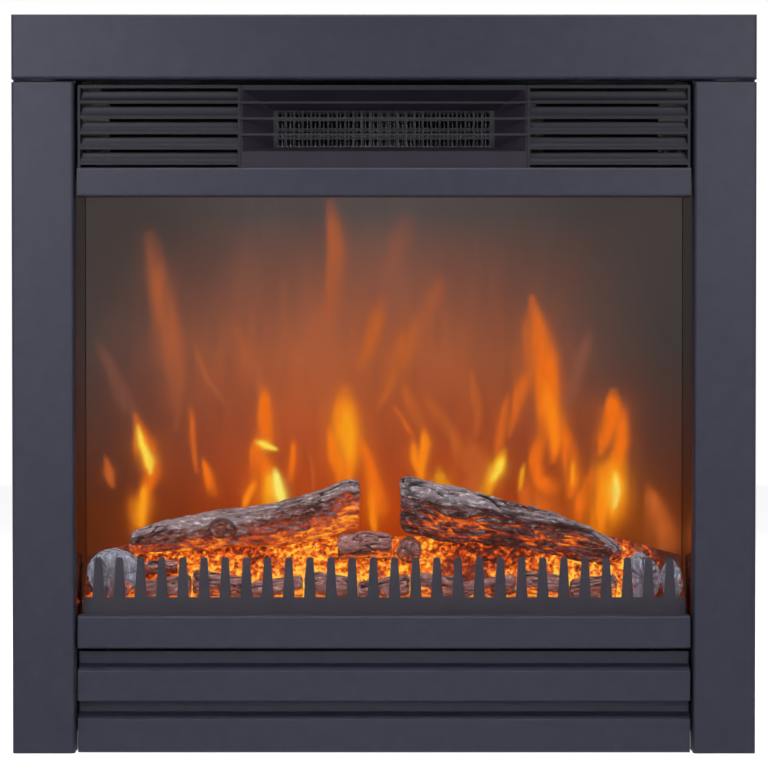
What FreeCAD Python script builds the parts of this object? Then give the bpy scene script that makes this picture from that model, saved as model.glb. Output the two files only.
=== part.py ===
import FreeCAD
import Part
import Sketcher
import math
import operator
import os
from types import SimpleNamespace

# Built-in electric fireplace: steel trim, glazed firebox, log bed, flame rotor and fan heater.
# X runs to the right seen from the front, Y runs to the back and Z is up, all in mm.
# The origin lies on the floor under the centre of the overall box.

SIZES = {
    # folded steel trim around the front
    "trim_width": 600,
    "trim_height": 596,
    "trim_depth": 22,
    "trim_sheet": 1.2,
    "trim_lip": 12,
    "trim_bend": 2.4,
    "header_height": 52,
    "header_gap": 2.5,
    "jamb_width": 50,
    "jamb_cap_setback": 10,
    "jamb_cap_tall": 9,
    # sheet casing behind the trim
    "casing_depth": 168,
    "casing_sheet": 1,
    "casing_flange": 18,
    "casing_hem": 12,
    "roof_gap": 1,
    "roof_flange": 16,
    "pan_height": 16,
    "vent_height": 4,
    "vent_pitch_z": 9,
    # rails, window and lower grille
    "rail_setback": 4,
    "rail_gap": 2.5,
    "rail_lip": 8,
    "rail_bend": 2,
    "upper_rail_height": 23.3,
    "lower_rail_height": 26.5,
    "bracket_reach": 18,
    "grille_height": 81.2,
    "grille_gap": 3.2,
    "grille_foot": 0.5,
    "strip_height": 9.7,
    "strip_setback": 12,
    "slope_rise": 5.2,
    "slat_height": 24.4,
    "grille_bend": 1,
    "magnet_width": 18,
    "magnet_gap": 0.3,
    "magnet_inset": 50,
    "glass_thick": 4,
    "glass_overlap": 7.5,
    "glass_side_gap": 2,
    "seal_thick": 1,
    "clip_width": 20,
    "clip_clear": 1.3,
    # intake louvres and hot air outlet
    "louvre_height": 67,
    "louvre_gap": 4,
    "louvre_setback": 10,
    "louvre_depth": 14,
    "louvre_cheek": 2,
    "blade_thick": 2,
    "blade_lip": 2.6,
    "blade_run": 10.5,
    "blade_slit": 1.7,
    "outlet_width": 232,
    "outlet_wall": 1.5,
    "mouth_low": 13.3,
    "mouth_high": 3.8,
    "throat_width": 180.4,
    "throat_height": 30,
    "throat_low": 18,
    "nozzle_depth": 24,
    "bar_thick": 1.7,
    "bar_depth": 2,
    "bar_pitch": 12.9,
    "grid_pitch_x": 7,
    "grid_pitch_z": 7.5,
    "grid_bar": 1.6,
    "grid_rim": 3,
    # fret, tray and log bed
    "tray_drop": 13,
    "tray_setback": 7,
    "tray_depth": 71,
    "tray_flange": 10,
    "fret_sheet": 1.2,
    "fret_height": 58.5,
    "fret_band": 26,
    "fret_end": 4,
    "finger_root": 9.8,
    "finger_tip": 5.6,
    "bed_setback": 4,
    "bed_depth": 61,
    "bed_shelf": 20,
    "bed_shelf_depth": 14,
    "bed_ridge": 71,
    "bed_ridge_depth": 6,
    "bed_side_gap": 3,
    "bed_end_run": 56,
    "bed_end_drop": 15,
    # flame effect
    "screen_setback": 74,
    "screen_thick": 3,
    "screen_side_gap": 0.5,
    "mask_setback": 14,
    "mask_height": 240,
    "rotor_y": 118,
    "rotor_z": 88,
    "rotor_r": 2,
    "rotor_run_gap": 0.1,
    "flag_reach": 16,
    "flag_sheet": 0.8,
    "rotor_motor_r": 25,
    "rotor_motor_long": 19,
    "bush_long": 14,
    "socket_depth": 7,
    "led_board_thick": 1.6,
    "led_side": 5,
    "led_tall": 1.6,
    # fan heater
    "shield_rise": 2,
    "shield_flange": 10,
    "duct_length": 34,
    "duct_wall": 1,
    "fin_pitch": 3.4,
    "fin_thick": 0.5,
    "fin_depth": 14,
    "wheel_r": 22,
    "wheel_inner_r": 16,
    "wheel_length": 176,
    "wheel_disc": 1.5,
    "wheel_setback": 30,
    "scroll_gap": 3,
    "shaft_r": 2.5,
    "stack_thick": 18,
    "rotor_core_r": 9,
    "rotor_core_gap": 0.5,
    "cutout_r": 8,
    "cutout_tall": 6,
    # electrics
    "board_length": 110,
    "board_width": 42,
    "board_thick": 1.6,
    "standoff_tall": 10,
    "standoff_r": 3,
    "gland_inset": 60,
    "gland_z": 40,
    "gland_bore_r": 4,
    "gland_thread_r": 8,
    "gland_reach": 16,
    "gland_flats": 22,
    "fit_gap": 0.1,
    "switch_z": 42,
    "switch_pitch": 30,
    "switch_inset": 130,
    "switch_setback": 8,
    "rocker_r": 9,
    "rocker_width": 11,
    "rocker_gap": 0.4,
    "rocker_tilt": 10,
    # fixings
    "screw_r": 1.9,
    "screw_hole_r": 2.1,
    "screw_head_r": 3.5,
    "screw_head_tall": 2.2,
    "screw_long": 6,
    "fixing_inset": 70,
    "fixing_hole_r": 2.75,
    "fixing_width": 24,
    "fixing_tall": 30,
    "fixing_sheet": 1.5,
}

BLADES = 5
FINGERS = 28
GRID_COLUMNS = 25
GRID_ROWS = 4
WHEEL_BLADES = 24
FLAGS = 10
MASK_FLAMES = 7
LEDS = 14
VENT_COLUMNS = 7
VENT_ROWS = 4
SLOPE_PER_SIDE = 0.25

doc = FreeCAD.newDocument("electric_fireplace")
sheet = doc.addObject("Spreadsheet::Sheet", "dims")
for row, (alias, number) in enumerate(SIZES.items(), 1):
    sheet.set(f"A{row}", alias)
    sheet.set(f"B{row}", str(number))
    sheet.setAlias(f"B{row}", alias)
doc.recompute()

Vector = FreeCAD.Vector
SIGNS = {"+": operator.add, "-": operator.sub, "*": operator.mul, "/": operator.truediv, "^": operator.pow}
nodes = {}


class Size:
    # a length that carries its value and the sheet formula it follows
    def __init__(self, value, text):
        self.value = value
        self.text = text

    def __add__(self, other):
        return joined(self, "+", other)

    def __radd__(self, other):
        return joined(other, "+", self)

    def __sub__(self, other):
        return joined(self, "-", other)

    def __rsub__(self, other):
        return joined(other, "-", self)

    def __mul__(self, other):
        return joined(self, "*", other)

    def __rmul__(self, other):
        return joined(other, "*", self)

    def __truediv__(self, other):
        return joined(self, "/", other)

    def __pow__(self, other):
        return joined(self, "^", other)

    def __neg__(self):
        return joined(0, "-", self)


def sized(number):
    if isinstance(number, Size):
        return number
    return Size(float(number), str(float(number)))


def joined(left, sign, right):
    left = sized(left)
    right = sized(right)
    return Size(SIGNS[sign](left.value, right.value), f"({left.text} {sign} {right.text})")


def keep(label, item):
    # the finished object of one named piece
    item.Label = label
    nodes[label] = item
    return item


def bind(item, name, size):
    item.setExpression(name, sized(size).text)


def place(item, x, y, z):
    for axis, size in zip("xyz", (x, y, z)):
        bind(item, f"Placement.Base.{axis}", size)


def block(name, x, y, z):
    # a box between the low and high value on each axis
    item = doc.addObject("Part::Box", name)
    for side, (low, high) in zip(("Length", "Width", "Height"), (x, y, z)):
        bind(item, side, sized(high) - low)
    place(item, x[0], y[0], z[0])
    return item


def rod(name, axis, start, length, radius):
    # a cylinder that runs from its start point along one axis
    item = doc.addObject("Part::Cylinder", name)
    turn = {"x": (0, 90, 0), "y": (0, 0, -90), "z": (0, 0, 0)}[axis]
    item.Placement = FreeCAD.Placement(Vector(), FreeCAD.Rotation(*turn))
    bind(item, "Radius", radius)
    bind(item, "Height", length)
    place(item, *start)
    return item


def prism(name, sides, start, length, radius):
    # a straight bar with flat sides that runs back from its start point
    item = doc.addObject("Part::Prism", name)
    item.Polygon = sides
    item.Placement = FreeCAD.Placement(Vector(), FreeCAD.Rotation(0, 0, -90))
    bind(item, "Circumradius", radius)
    bind(item, "Height", length)
    place(item, *start)
    return item


def fuse(name, *items):
    item = doc.addObject("Part::MultiFuse", name)
    item.Shapes = list(items)
    item.Refine = True
    return item


def group(name, *items):
    item = doc.addObject("Part::Compound", name)
    item.Links = list(items)
    return item


def cut(name, base, *tools):
    item = doc.addObject("Part::Cut", name)
    item.Base = base
    item.Tool = tools[0] if len(tools) == 1 else group(f"{name}_tools", *tools)
    return item


def new_body(name):
    return doc.addObject("PartDesign::Body", name)


def origin(body, role):
    return [item for item in body.Origin.OriginFeatures if item.Role == role][0]


def new_sketch(body, plane, offset):
    sketch = body.newObject("Sketcher::SketchObject", f"{body.Name}_sketch")
    sketch.AttachmentSupport = [(origin(body, f"{plane}_Plane"), "")]
    sketch.MapMode = "FlatFace"
    bind(sketch, "AttachmentOffset.Base.z", offset)
    return sketch


def draw(body, plane, outline, offset=0):
    # a closed outline of straight lines; each corner follows the sheet
    sketch = new_sketch(body, plane, offset)
    corners = [(sized(across), sized(up)) for across, up in outline]
    spots = [Vector(across.value, up.value, 0) for across, up in corners]
    for here, there in zip(spots, spots[1:] + spots[:1]):
        sketch.addGeometry(Part.LineSegment(here, there))
    for index, corner in enumerate(corners):
        last = (index - 1) % len(corners)
        sketch.addConstraint(Sketcher.Constraint("Coincident", last, 2, index, 1))
        for kind, size in zip(("DistanceX", "DistanceY"), corner):
            number = sketch.addConstraint(Sketcher.Constraint(kind, -1, 1, index, 1, size.value))
            sketch.setExpression(f"Constraints[{number}]", size.text)
    return sketch


def draw_rings(body, plane, radii, offset=0):
    # circles about the origin of the body
    sketch = new_sketch(body, plane, offset)
    for index, radius in enumerate(radii):
        sketch.addGeometry(Part.Circle(Vector(), Vector(0, 0, 1), radius.value))
        sketch.addConstraint(Sketcher.Constraint("Coincident", index, 3, -1, 1))
        number = sketch.addConstraint(Sketcher.Constraint("Radius", index, radius.value))
        sketch.setExpression(f"Constraints[{number}]", radius.text)
    return sketch


def extrude(body, sketch, length, kind="Pad"):
    feature = body.newObject(f"PartDesign::{kind}", f"{body.Name}_{kind.lower()}")
    feature.Profile = sketch
    bind(feature, "Length", length)
    return feature


def slab(body, outline, low, high):
    # an outline in the XZ plane carried from the low to the high depth
    return extrude(body, draw(body, "XZ", outline, -sized(high)), sized(high) - low)


def bar(body, outline, low, high):
    # a depth and height outline carried along X
    return extrude(body, draw(body, "YZ", outline, low), sized(high) - low)


def repeat(body, feature, axis, count, span, second=None):
    pattern = body.newObject("PartDesign::LinearPattern", f"{body.Name}_row")
    pattern.Originals = [feature]
    pattern.Direction = (origin(body, f"{axis}_Axis"), [""])
    bind(pattern, "Length", span)
    pattern.Occurrences = count
    if second:
        pattern.Direction2 = (origin(body, f"{second[0]}_Axis"), [""])
        pattern.Occurrences2 = second[1]
        bind(pattern, "Length2", second[2])
    body.Tip = pattern
    return pattern


def soften(body, feature, radius, test):
    # rounds the edges that the test picks
    doc.recompute()
    picked = [f"Edge{number}" for number, edge in enumerate(feature.Shape.Edges, 1) if test(edge)]
    fillet = body.newObject("PartDesign::Fillet", f"{body.Name}_bend")
    fillet.Base = (feature, picked)
    bind(fillet, "Radius", radius)
    body.Tip = fillet
    return fillet


def runs(axes, *spots):
    # a test for straight edges through one of the spots, given on two axes
    def test(edge):
        if len(edge.Vertexes) != 2:
            return False
        ends = [vertex.Point for vertex in edge.Vertexes]
        for spot in spots:
            wanted = [sized(size).value for size in spot]
            if all(math.dist([getattr(end, axis) for axis in axes], wanted) < 0.01 for end in ends):
                return True
        return False
    return test


def oblong(x, z):
    return [(x[0], z[0]), (x[1], z[0]), (x[1], z[1]), (x[0], z[1])]


def channel(low, high, front, low_back, high_back, sheet_size, lip):
    # open section with two rear lips, given across and in depth
    s = sheet_size
    return [
        (low, front), (high, front), (high, high_back), (high - lip, high_back),
        (high - lip, high_back - s), (high - s, high_back - s), (high - s, front + s),
        (low + s, front + s), (low + s, low_back - s), (low + lip, low_back - s),
        (low + lip, low_back), (low, low_back),
    ]


def swapped(outline):
    return [(up, across) for across, up in outline]


# places that several pieces share
d = SimpleNamespace(**{alias: Size(float(number), f"dims.{alias}") for alias, number in SIZES.items()})
front = -(d.trim_depth + d.casing_depth + d.gland_reach) / 2
half_width = d.trim_width / 2
inside = half_width - d.jamb_width
outside = inside + d.casing_sheet
flange_y = front + d.trim_depth
back_y = flange_y + d.casing_depth
back_inner = back_y - d.casing_sheet
hem_y = back_inner - d.casing_sheet
header_low = d.trim_height - d.header_height
roof_low = header_low + d.roof_gap
roof_high = roof_low + d.casing_sheet
rail_half = inside - d.rail_gap
rail_front = front + d.rail_setback
lower_rail_low = d.grille_height + d.grille_gap
lower_rail_high = lower_rail_low + d.lower_rail_height
louvre_high = header_low - d.louvre_gap
louvre_low = louvre_high - d.louvre_height
upper_rail_low = louvre_low - d.upper_rail_height
pan_floor = d.casing_sheet
gland_x = inside - d.gland_inset
switch_x = inside - d.switch_inset
shield_low = louvre_low + d.shield_rise
shield_high = shield_low + d.casing_sheet
tray_high = lower_rail_high - d.tray_drop
tray_front = flange_y + d.tray_setback
screen_front = flange_y + d.screen_setback
screen_back = screen_front + d.screen_thick

# fasteners: hexagon heads outside, shanks through the sheets
screw_spots = []
for side in (-1, 1):
    for share in (0.1, 0.37, 0.64, 0.91):
        screw_spots.append(("back", side * (inside - d.casing_hem / 2), roof_low * share))
    for share in (0.1, 0.5, 0.9):
        screw_spots.append(("jamb", side * (inside + d.trim_lip * 0.6), roof_low * share))
for share in (-0.7, 0, 0.7):
    screw_spots.append(("header", inside * share, header_low + d.trim_lip * 0.65))


def screw_holes(places, side=0):
    # drills for the screws of the named places, on one side or on both
    tools = []
    for place_name, x, z in screw_spots:
        if place_name in places and sized(x).value * side >= 0:
            middle = back_y if place_name == "back" else flange_y
            start = middle - d.screw_long
            tools.append(rod("drill", "y", (x, start, z), d.screw_long * 2, d.screw_hole_r))
    return tools


screws = []
for place_name, x, z in screw_spots:
    seat = back_y if place_name == "back" else flange_y + d.casing_sheet
    head = prism("screw_head", 6, (x, seat, z), d.screw_head_tall, d.screw_head_r)
    shank = prism("screw_shank", 8, (x, seat - d.screw_long, z), d.screw_long, d.screw_r)
    screws.append(fuse("screw", head, shank))
keep("casing_screws", group("casing_screws", *screws))

# steel trim: header with closed ends and two jambs
body = new_body("header_body")
section = swapped(channel(header_low, d.trim_height, front, flange_y, flange_y + d.casing_sheet,
                          d.trim_sheet, d.trim_lip))
bar(body, section, -half_width, half_width)
cap = oblong((front, flange_y), (header_low, d.trim_height))
bar(body, cap, -half_width, -half_width + d.trim_sheet)
last = bar(body, cap, half_width - d.trim_sheet, half_width)
front_face_edges = runs("yz", (front, header_low), (front, d.trim_height))
front_end_edges = runs("xy", (-half_width, front), (half_width, front))
soften(body, last, d.trim_bend, lambda edge: front_face_edges(edge) or front_end_edges(edge))
keep("trim_header", cut("trim_header", body, *screw_holes(["header"])))

for label, side in (("trim_jamb_left", -1), ("trim_jamb_right", 1)):
    body = new_body(f"{label}_body")
    section = channel(inside, half_width, front, flange_y, flange_y + d.casing_sheet,
                      d.trim_sheet, d.trim_lip)
    section = [(side * across, depth) for across, depth in section]
    last = extrude(body, draw(body, "XY", section), header_low - d.header_gap)
    soften(body, last, d.trim_bend, runs("xy", (side * inside, front), (side * half_width, front)))
    # a small plate closes the joint under the header
    cap_x = sorted((side * (inside + d.trim_sheet / 2), side * (half_width - d.trim_sheet / 2)),
                   key=lambda size: size.value)
    cap_front = front + d.jamb_cap_setback
    slab(body, oblong(cap_x, (header_low - d.jamb_cap_tall, header_low - d.fit_gap * 3)), cap_front,
         cap_front + d.trim_sheet)
    keep(label, cut(label, body, *screw_holes(["jamb"], side)))

# rails over and under the window
for label, low, high in (("upper_rail", upper_rail_low, louvre_low),
                         ("lower_rail", lower_rail_low, lower_rail_high)):
    body = keep(label, new_body(label))
    section = swapped(channel(low, high, rail_front, flange_y, flange_y, d.trim_sheet, d.rail_lip))
    last = bar(body, section, -rail_half, rail_half)
    soften(body, last, d.rail_bend, runs("yz", (rail_front, low), (rail_front, high)))

# angle brackets between the rails and the casing sides
brackets = []
for low, high in ((louvre_low - d.rail_lip, louvre_low), (lower_rail_low, lower_rail_low + d.rail_lip)):
    for side in (-1, 1):
        tall = (low, high)
        ends = (inside - d.bracket_reach, inside) if side > 0 else (-inside, d.bracket_reach - inside)
        face = block("bracket_face", ends, (flange_y, flange_y + d.casing_sheet), tall)
        ends = (inside - d.casing_sheet, inside) if side > 0 else (-inside, d.casing_sheet - inside)
        leg = block("bracket_leg", ends, (flange_y, tray_front - d.clip_clear), tall)
        brackets.append(fuse("bracket", face, leg))
keep("rail_brackets", group("rail_brackets", *brackets))

# lower grille: one sheet folded into recessed strips and proud slats
steep = (1 + (d.slope_rise / d.strip_setback) ** 2) ** 0.5
under = d.trim_sheet * (steep - d.slope_rise / d.strip_setback)
strip_front = rail_front + d.strip_setback
strip_back = strip_front + d.trim_sheet
slat_back = rail_front + d.trim_sheet
fold_1 = d.grille_height - d.strip_height
slat_1 = fold_1 - d.slope_rise
slat_1_low = slat_1 - d.slat_height
fold_2 = slat_1_low - d.strip_height
slat_2 = fold_2 - d.slope_rise
section = [
    (strip_front, d.grille_height), (strip_front, fold_1), (rail_front, slat_1), (rail_front, slat_1_low),
    (strip_front, slat_1_low), (strip_front, fold_2), (rail_front, slat_2), (rail_front, d.grille_foot),
    (slat_back, d.grille_foot), (slat_back, slat_2 - under), (strip_back, fold_2 - under),
    (strip_back, slat_1_low + d.trim_sheet), (slat_back, slat_1_low + d.trim_sheet),
    (slat_back, slat_1 - under), (strip_back, fold_1 - under), (strip_back, d.grille_height),
]
body = keep("lower_grille", new_body("lower_grille"))
last = bar(body, section, -rail_half, rail_half)
soften(body, last, d.grille_bend, runs("yz", (rail_front, slat_1), (rail_front, slat_1_low),
                                       (rail_front, slat_2)))

magnets = []
catches = []
catch_front = flange_y
for side in (-1, 1):
    middle = side * (inside - d.magnet_inset)
    wide = (middle - d.magnet_width / 2, middle + d.magnet_width / 2)
    tall = (fold_1 + 1, d.grille_height - 1)
    magnets.append(block("magnet", wide, (strip_back, catch_front - d.magnet_gap), tall))
    thick = (catch_front, catch_front + d.casing_sheet)
    catches.append(block("catch", wide, thick, (d.casing_sheet, d.grille_height - 1)))
keep("grille_magnets", group("grille_magnets", *magnets))
keep("magnet_catches", group("magnet_catches", *catches))

# window glass on foam seals, clipped behind the rails
glass_half = inside - d.glass_side_gap
glass_front = flange_y + d.seal_thick
glass_back = glass_front + d.glass_thick
glass_low = lower_rail_high - d.glass_overlap
glass_high = upper_rail_low + d.glass_overlap
keep("front_glass", block("front_glass", (-glass_half, glass_half), (glass_front, glass_back),
                          (glass_low, glass_high)))
seal_x = (-inside + d.bracket_reach, inside - d.bracket_reach)
seals = [block("seal", seal_x, (flange_y, glass_front), tall)
         for tall in ((glass_low, lower_rail_high - d.casing_sheet),
                      (upper_rail_low + d.casing_sheet, glass_high))]
keep("glass_seals", group("glass_seals", *seals))

clips = []
s = d.casing_sheet
for side, tip, bend, foot in (
        (1, upper_rail_low + s, glass_high + d.clip_clear, louvre_low - s),
        (-1, lower_rail_high - s, glass_low - d.clip_clear, lower_rail_low + s)):
    section = [
        (flange_y, foot), (flange_y, bend), (glass_back, bend), (glass_back, tip),
        (glass_back + s, tip), (glass_back + s, bend + side * s), (flange_y + s, bend + side * s),
        (flange_y + s, foot),
    ]
    for middle in (-inside * 0.6, inside * 0.6):
        body = new_body("clip_body")
        bar(body, section, middle - d.clip_width / 2, middle + d.clip_width / 2)
        clips.append(body)
keep("glass_clips", group("glass_clips", *clips))

# intake louvres: slanted blades with a lip between two cheeks
louvre_front = front + d.louvre_setback
louvre_back = louvre_front + d.louvre_depth
outlet_half = d.outlet_width / 2
blade_low = louvre_low + d.blade_lip
blade_pitch = (d.louvre_height - d.blade_lip * 2) / BLADES
blade_back = louvre_front + d.blade_run
blade_rise = blade_pitch - d.blade_lip - d.blade_slit
for label, side in (("louvre_left", -1), ("louvre_right", 1)):
    body = keep(label, new_body(label))
    ends = sorted((side * outlet_half, side * rail_half), key=lambda size: size.value)
    left, right = ends
    lip_high = blade_low + d.blade_lip
    section = [
        (louvre_front, blade_low), (louvre_front, lip_high), (blade_back, lip_high + blade_rise),
        (blade_back + d.blade_thick, lip_high + blade_rise), (louvre_front + d.blade_thick, lip_high),
        (louvre_front + d.blade_thick, blade_low),
    ]
    cheek = oblong((louvre_front, louvre_back), (louvre_low, louvre_high))
    rim = oblong((louvre_front, louvre_front + d.blade_thick), (louvre_high - d.blade_lip, louvre_high))
    bar(body, cheek, left, left + d.louvre_cheek)
    bar(body, cheek, right - d.louvre_cheek, right)
    bar(body, rim, left, right)
    blade = bar(body, section, left, right)
    repeat(body, blade, "Z", BLADES, blade_pitch * (BLADES - 1))

# hot air outlet: funnel, cross bars and grid
plate_front = louvre_front + d.bar_depth
plate_back = plate_front + d.outlet_wall
throat_y = plate_front + d.nozzle_depth
mouth_z = (louvre_low + d.mouth_low, louvre_high - d.mouth_high)
mouth_x = (-outlet_half + d.outlet_wall, outlet_half - d.outlet_wall)
throat_z = (louvre_low + d.throat_low, louvre_low + d.throat_low + d.throat_height)
throat_x = (-d.throat_width / 2, d.throat_width / 2)


def grown(span, size):
    return (span[0] - size, span[1] + size)


def funnel(owner, kind, first, second):
    feature = owner.newObject(f"PartDesign::{kind}Loft", f"{owner.Name}_{kind.lower()}")
    feature.Profile = first
    feature.Sections = [second]
    return feature


body = keep("outlet_nozzle", new_body("outlet_nozzle"))
slab(body, oblong((-outlet_half, outlet_half), (louvre_low, louvre_high)), plate_front, plate_back)
wall = d.outlet_wall
funnel(body, "Additive",
       draw(body, "XZ", oblong(grown(mouth_x, wall), grown(mouth_z, wall)), -plate_front),
       draw(body, "XZ", oblong(grown(throat_x, wall), grown(throat_z, wall)), -throat_y))
funnel(body, "Subtractive",
       draw(body, "XZ", oblong(mouth_x, mouth_z), -plate_front),
       draw(body, "XZ", oblong(throat_x, throat_z), -throat_y))

bars = []
bar_middle = (mouth_z[0] + mouth_z[1]) / 2 + d.bar_thick
for step in (-1, 0, 1):
    low = bar_middle + step * d.bar_pitch - d.bar_thick / 2
    bars.append(block("outlet_bar", (-outlet_half, outlet_half), (louvre_front, plate_front),
                      (low, low + d.bar_thick)))
keep("outlet_bars", group("outlet_bars", *bars))

body = keep("outlet_grid", new_body("outlet_grid"))
grid_x = grown(throat_x, d.grid_rim)
grid_z = grown(throat_z, d.grid_rim)
grid_back = throat_y + d.outlet_wall
slab(body, oblong(grid_x, grid_z), throat_y, grid_back)
span_x = d.grid_pitch_x * (GRID_COLUMNS - 1)
span_z = d.grid_pitch_z * (GRID_ROWS - 1)
cell_x = -span_x / 2
cell_z = (throat_z[0] + throat_z[1]) / 2 - span_z / 2
cell_half_x = (d.grid_pitch_x - d.grid_bar) / 2
cell_half_z = (d.grid_pitch_z - d.grid_bar) / 2
cell = oblong((cell_x - cell_half_x, cell_x + cell_half_x), (cell_z - cell_half_z, cell_z + cell_half_z))
hole = extrude(body, draw(body, "XZ", cell, -throat_y), d.outlet_wall * 2, "Pocket")
repeat(body, hole, "X", GRID_COLUMNS, span_x, ("Z", GRID_ROWS, span_z))

# heat shield over the firebox and the heater duct on it
body = keep("heat_shield", new_body("heat_shield"))
shield_front = glass_back + d.clip_clear + d.casing_sheet
s = d.casing_sheet
section = [(-inside, shield_low), (inside, shield_low), (inside, shield_high + d.shield_flange),
           (inside - s, shield_high + d.shield_flange), (inside - s, shield_high),
           (-inside + s, shield_high), (-inside + s, shield_high + d.shield_flange),
           (-inside, shield_high + d.shield_flange)]
slab(body, section, shield_front, hem_y)

duct_back = grid_back + d.duct_length
duct_x = grown(throat_x, d.duct_wall)
duct_z = grown(throat_z, d.duct_wall)
body = keep("heater_duct", new_body("heater_duct"))
slab(body, oblong(grown(duct_x, d.duct_wall), grown(duct_z, d.duct_wall)), grid_back, duct_back)
extrude(body, draw(body, "XZ", oblong(duct_x, duct_z), -grid_back), d.duct_length * 2, "Pocket")

body = keep("ptc_element", new_body("ptc_element"))
fin_y = (grid_back + d.fin_depth / 2, grid_back + d.fin_depth * 1.5)
fin_count = int((d.throat_width.value - d.fin_pitch.value) / d.fin_pitch.value)
bar_tall = d.throat_height / 10
for low in (duct_z[0], (duct_z[0] + duct_z[1] - bar_tall) / 2, duct_z[1] - bar_tall):
    slab(body, oblong(throat_x, (low, low + bar_tall)), fin_y[0], fin_y[1])
fin_span = d.fin_pitch * (fin_count - 1)
fin_x = (-fin_span / 2 - d.fin_thick / 2, -fin_span / 2 + d.fin_thick / 2)
fin = slab(body, oblong(fin_x, duct_z), fin_y[0], fin_y[1])
repeat(body, fin, "X", fin_count, fin_span)

cutout_y = grid_back + d.duct_length / 2
cutout_z = duct_z[1] + d.duct_wall
cutout_x = d.throat_width / 4
can = rod("cutout_can", "z", (cutout_x, cutout_y, cutout_z), d.cutout_tall, d.cutout_r)
tabs = []
for side in (-1, 1):
    x = cutout_x + side * d.cutout_r / 2
    tabs.append(block("cutout_tab", (x - d.fin_thick, x + d.fin_thick),
                      (cutout_y - d.cutout_r / 3, cutout_y + d.cutout_r / 3),
                      (cutout_z + d.cutout_tall, cutout_z + d.cutout_tall * 2)))
keep("thermal_cutout", fuse("thermal_cutout", can, *tabs))

# cross flow fan: scroll, bladed wheel, shaft, bearings and motor
wheel_y = duct_back + d.wheel_setback
wheel_z = (throat_z[0] + throat_z[1]) / 2
scroll_r = d.wheel_r + d.scroll_gap
scroll_half = duct_x[1] + d.duct_wall
plate_half = scroll_half + d.casing_sheet


def scroll_shape():
    # top wall from the duct, then an arc round the back of the wheel
    middle = Vector(0, wheel_y.value, wheel_z.value)
    inner = scroll_r.value
    outer = inner + d.duct_wall.value
    stop = math.radians(-60)

    def on_arc(radius, angle):
        return middle + Vector(0, radius * math.cos(angle), radius * math.sin(angle))

    top = duct_z[1].value
    start = duct_back.value
    spots = [Vector(0, start, top), on_arc(inner, math.pi / 2), on_arc(inner, math.pi / 12),
             on_arc(inner, stop), on_arc(outer, stop), on_arc(outer, math.pi / 12),
             on_arc(outer, math.pi / 2), Vector(0, start, top + d.duct_wall.value)]
    edges = [
        Part.makeLine(spots[0], spots[1]),
        Part.Arc(spots[1], spots[2], spots[3]).toShape(),
        Part.makeLine(spots[3], spots[4]),
        Part.Arc(spots[4], spots[5], spots[6]).toShape(),
        Part.makeLine(spots[6], spots[7]),
        Part.makeLine(spots[7], spots[0]),
    ]
    face = Part.Face(Part.Wire(edges))
    return face.extrude(Vector(scroll_half.value * 2, 0, 0))


band = doc.addObject("Part::Feature", "scroll_band")
band.Shape = scroll_shape()
place(band, -scroll_half, 0, 0)
plates = []
scroll_back = wheel_y + scroll_r + d.duct_wall
for low, high in ((-plate_half, -scroll_half), (scroll_half, plate_half)):
    plate = block("scroll_plate", (low, high), (duct_back, scroll_back),
                  (shield_high, wheel_z + scroll_r + d.duct_wall))
    bore = rod("scroll_bore", "x", (low - 1, wheel_y, wheel_z), d.casing_sheet + 2, d.shaft_r * 2)
    plates.append(cut("scroll_side", plate, bore))
keep("fan_scroll", fuse("fan_scroll", band, *plates))

body = keep("fan_wheel", new_body("fan_wheel"))
shaft_hole = d.shaft_r + d.fit_gap
discs = (0, (d.wheel_length - d.wheel_disc) / 3, (d.wheel_length - d.wheel_disc) * 2 / 3,
         d.wheel_length - d.wheel_disc)
for start in discs:
    extrude(body, draw_rings(body, "YZ", (d.wheel_r, shaft_hole), sized(start)), d.wheel_disc)
rim = d.wheel_r - d.wheel_disc / 3
middle_r = (d.wheel_inner_r + rim) / 2
curve = d.wheel_disc * 1.2
blade = bar(body, [(d.wheel_inner_r, 0), (middle_r, curve), (rim, curve * 1.5),
                   (rim, curve * 1.5 + d.fin_thick), (middle_r, curve + d.fin_thick),
                   (d.wheel_inner_r, d.fin_thick)], 0, d.wheel_length)
ring = body.newObject("PartDesign::PolarPattern", "fan_wheel_ring")
ring.Originals = [blade]
ring.Axis = (origin(body, "X_Axis"), [""])
ring.Angle = 360
ring.Occurrences = WHEEL_BLADES
body.Tip = ring
place(body, -d.wheel_length / 2, wheel_y, wheel_z)

bearing_long = d.shaft_r * 3
bearings = []
for start in (-plate_half - bearing_long, plate_half):
    ring = rod("bearing_ring", "x", (start, wheel_y, wheel_z), bearing_long, d.shaft_r * 3)
    bore = rod("bearing_bore", "x", (start - 1, wheel_y, wheel_z), bearing_long + 2, shaft_hole)
    bearings.append(cut("bearing", ring, bore))
keep("fan_bearings", group("fan_bearings", *bearings))

stack_x = (plate_half + bearing_long * 2, plate_half + bearing_long * 2 + d.stack_thick)
shaft_start = -plate_half - bearing_long - d.casing_sheet
shaft_long = stack_x[1] + bearing_long / 2 - shaft_start
shaft = rod("shaft_rod", "x", (shaft_start, wheel_y, wheel_z), shaft_long, d.shaft_r)
core = rod("shaft_core", "x", (stack_x[0] - d.casing_sheet, wheel_y, wheel_z),
           d.stack_thick + d.casing_sheet * 2, d.rotor_core_r)
keep("fan_shaft", fuse("fan_shaft", shaft, core))

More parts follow.
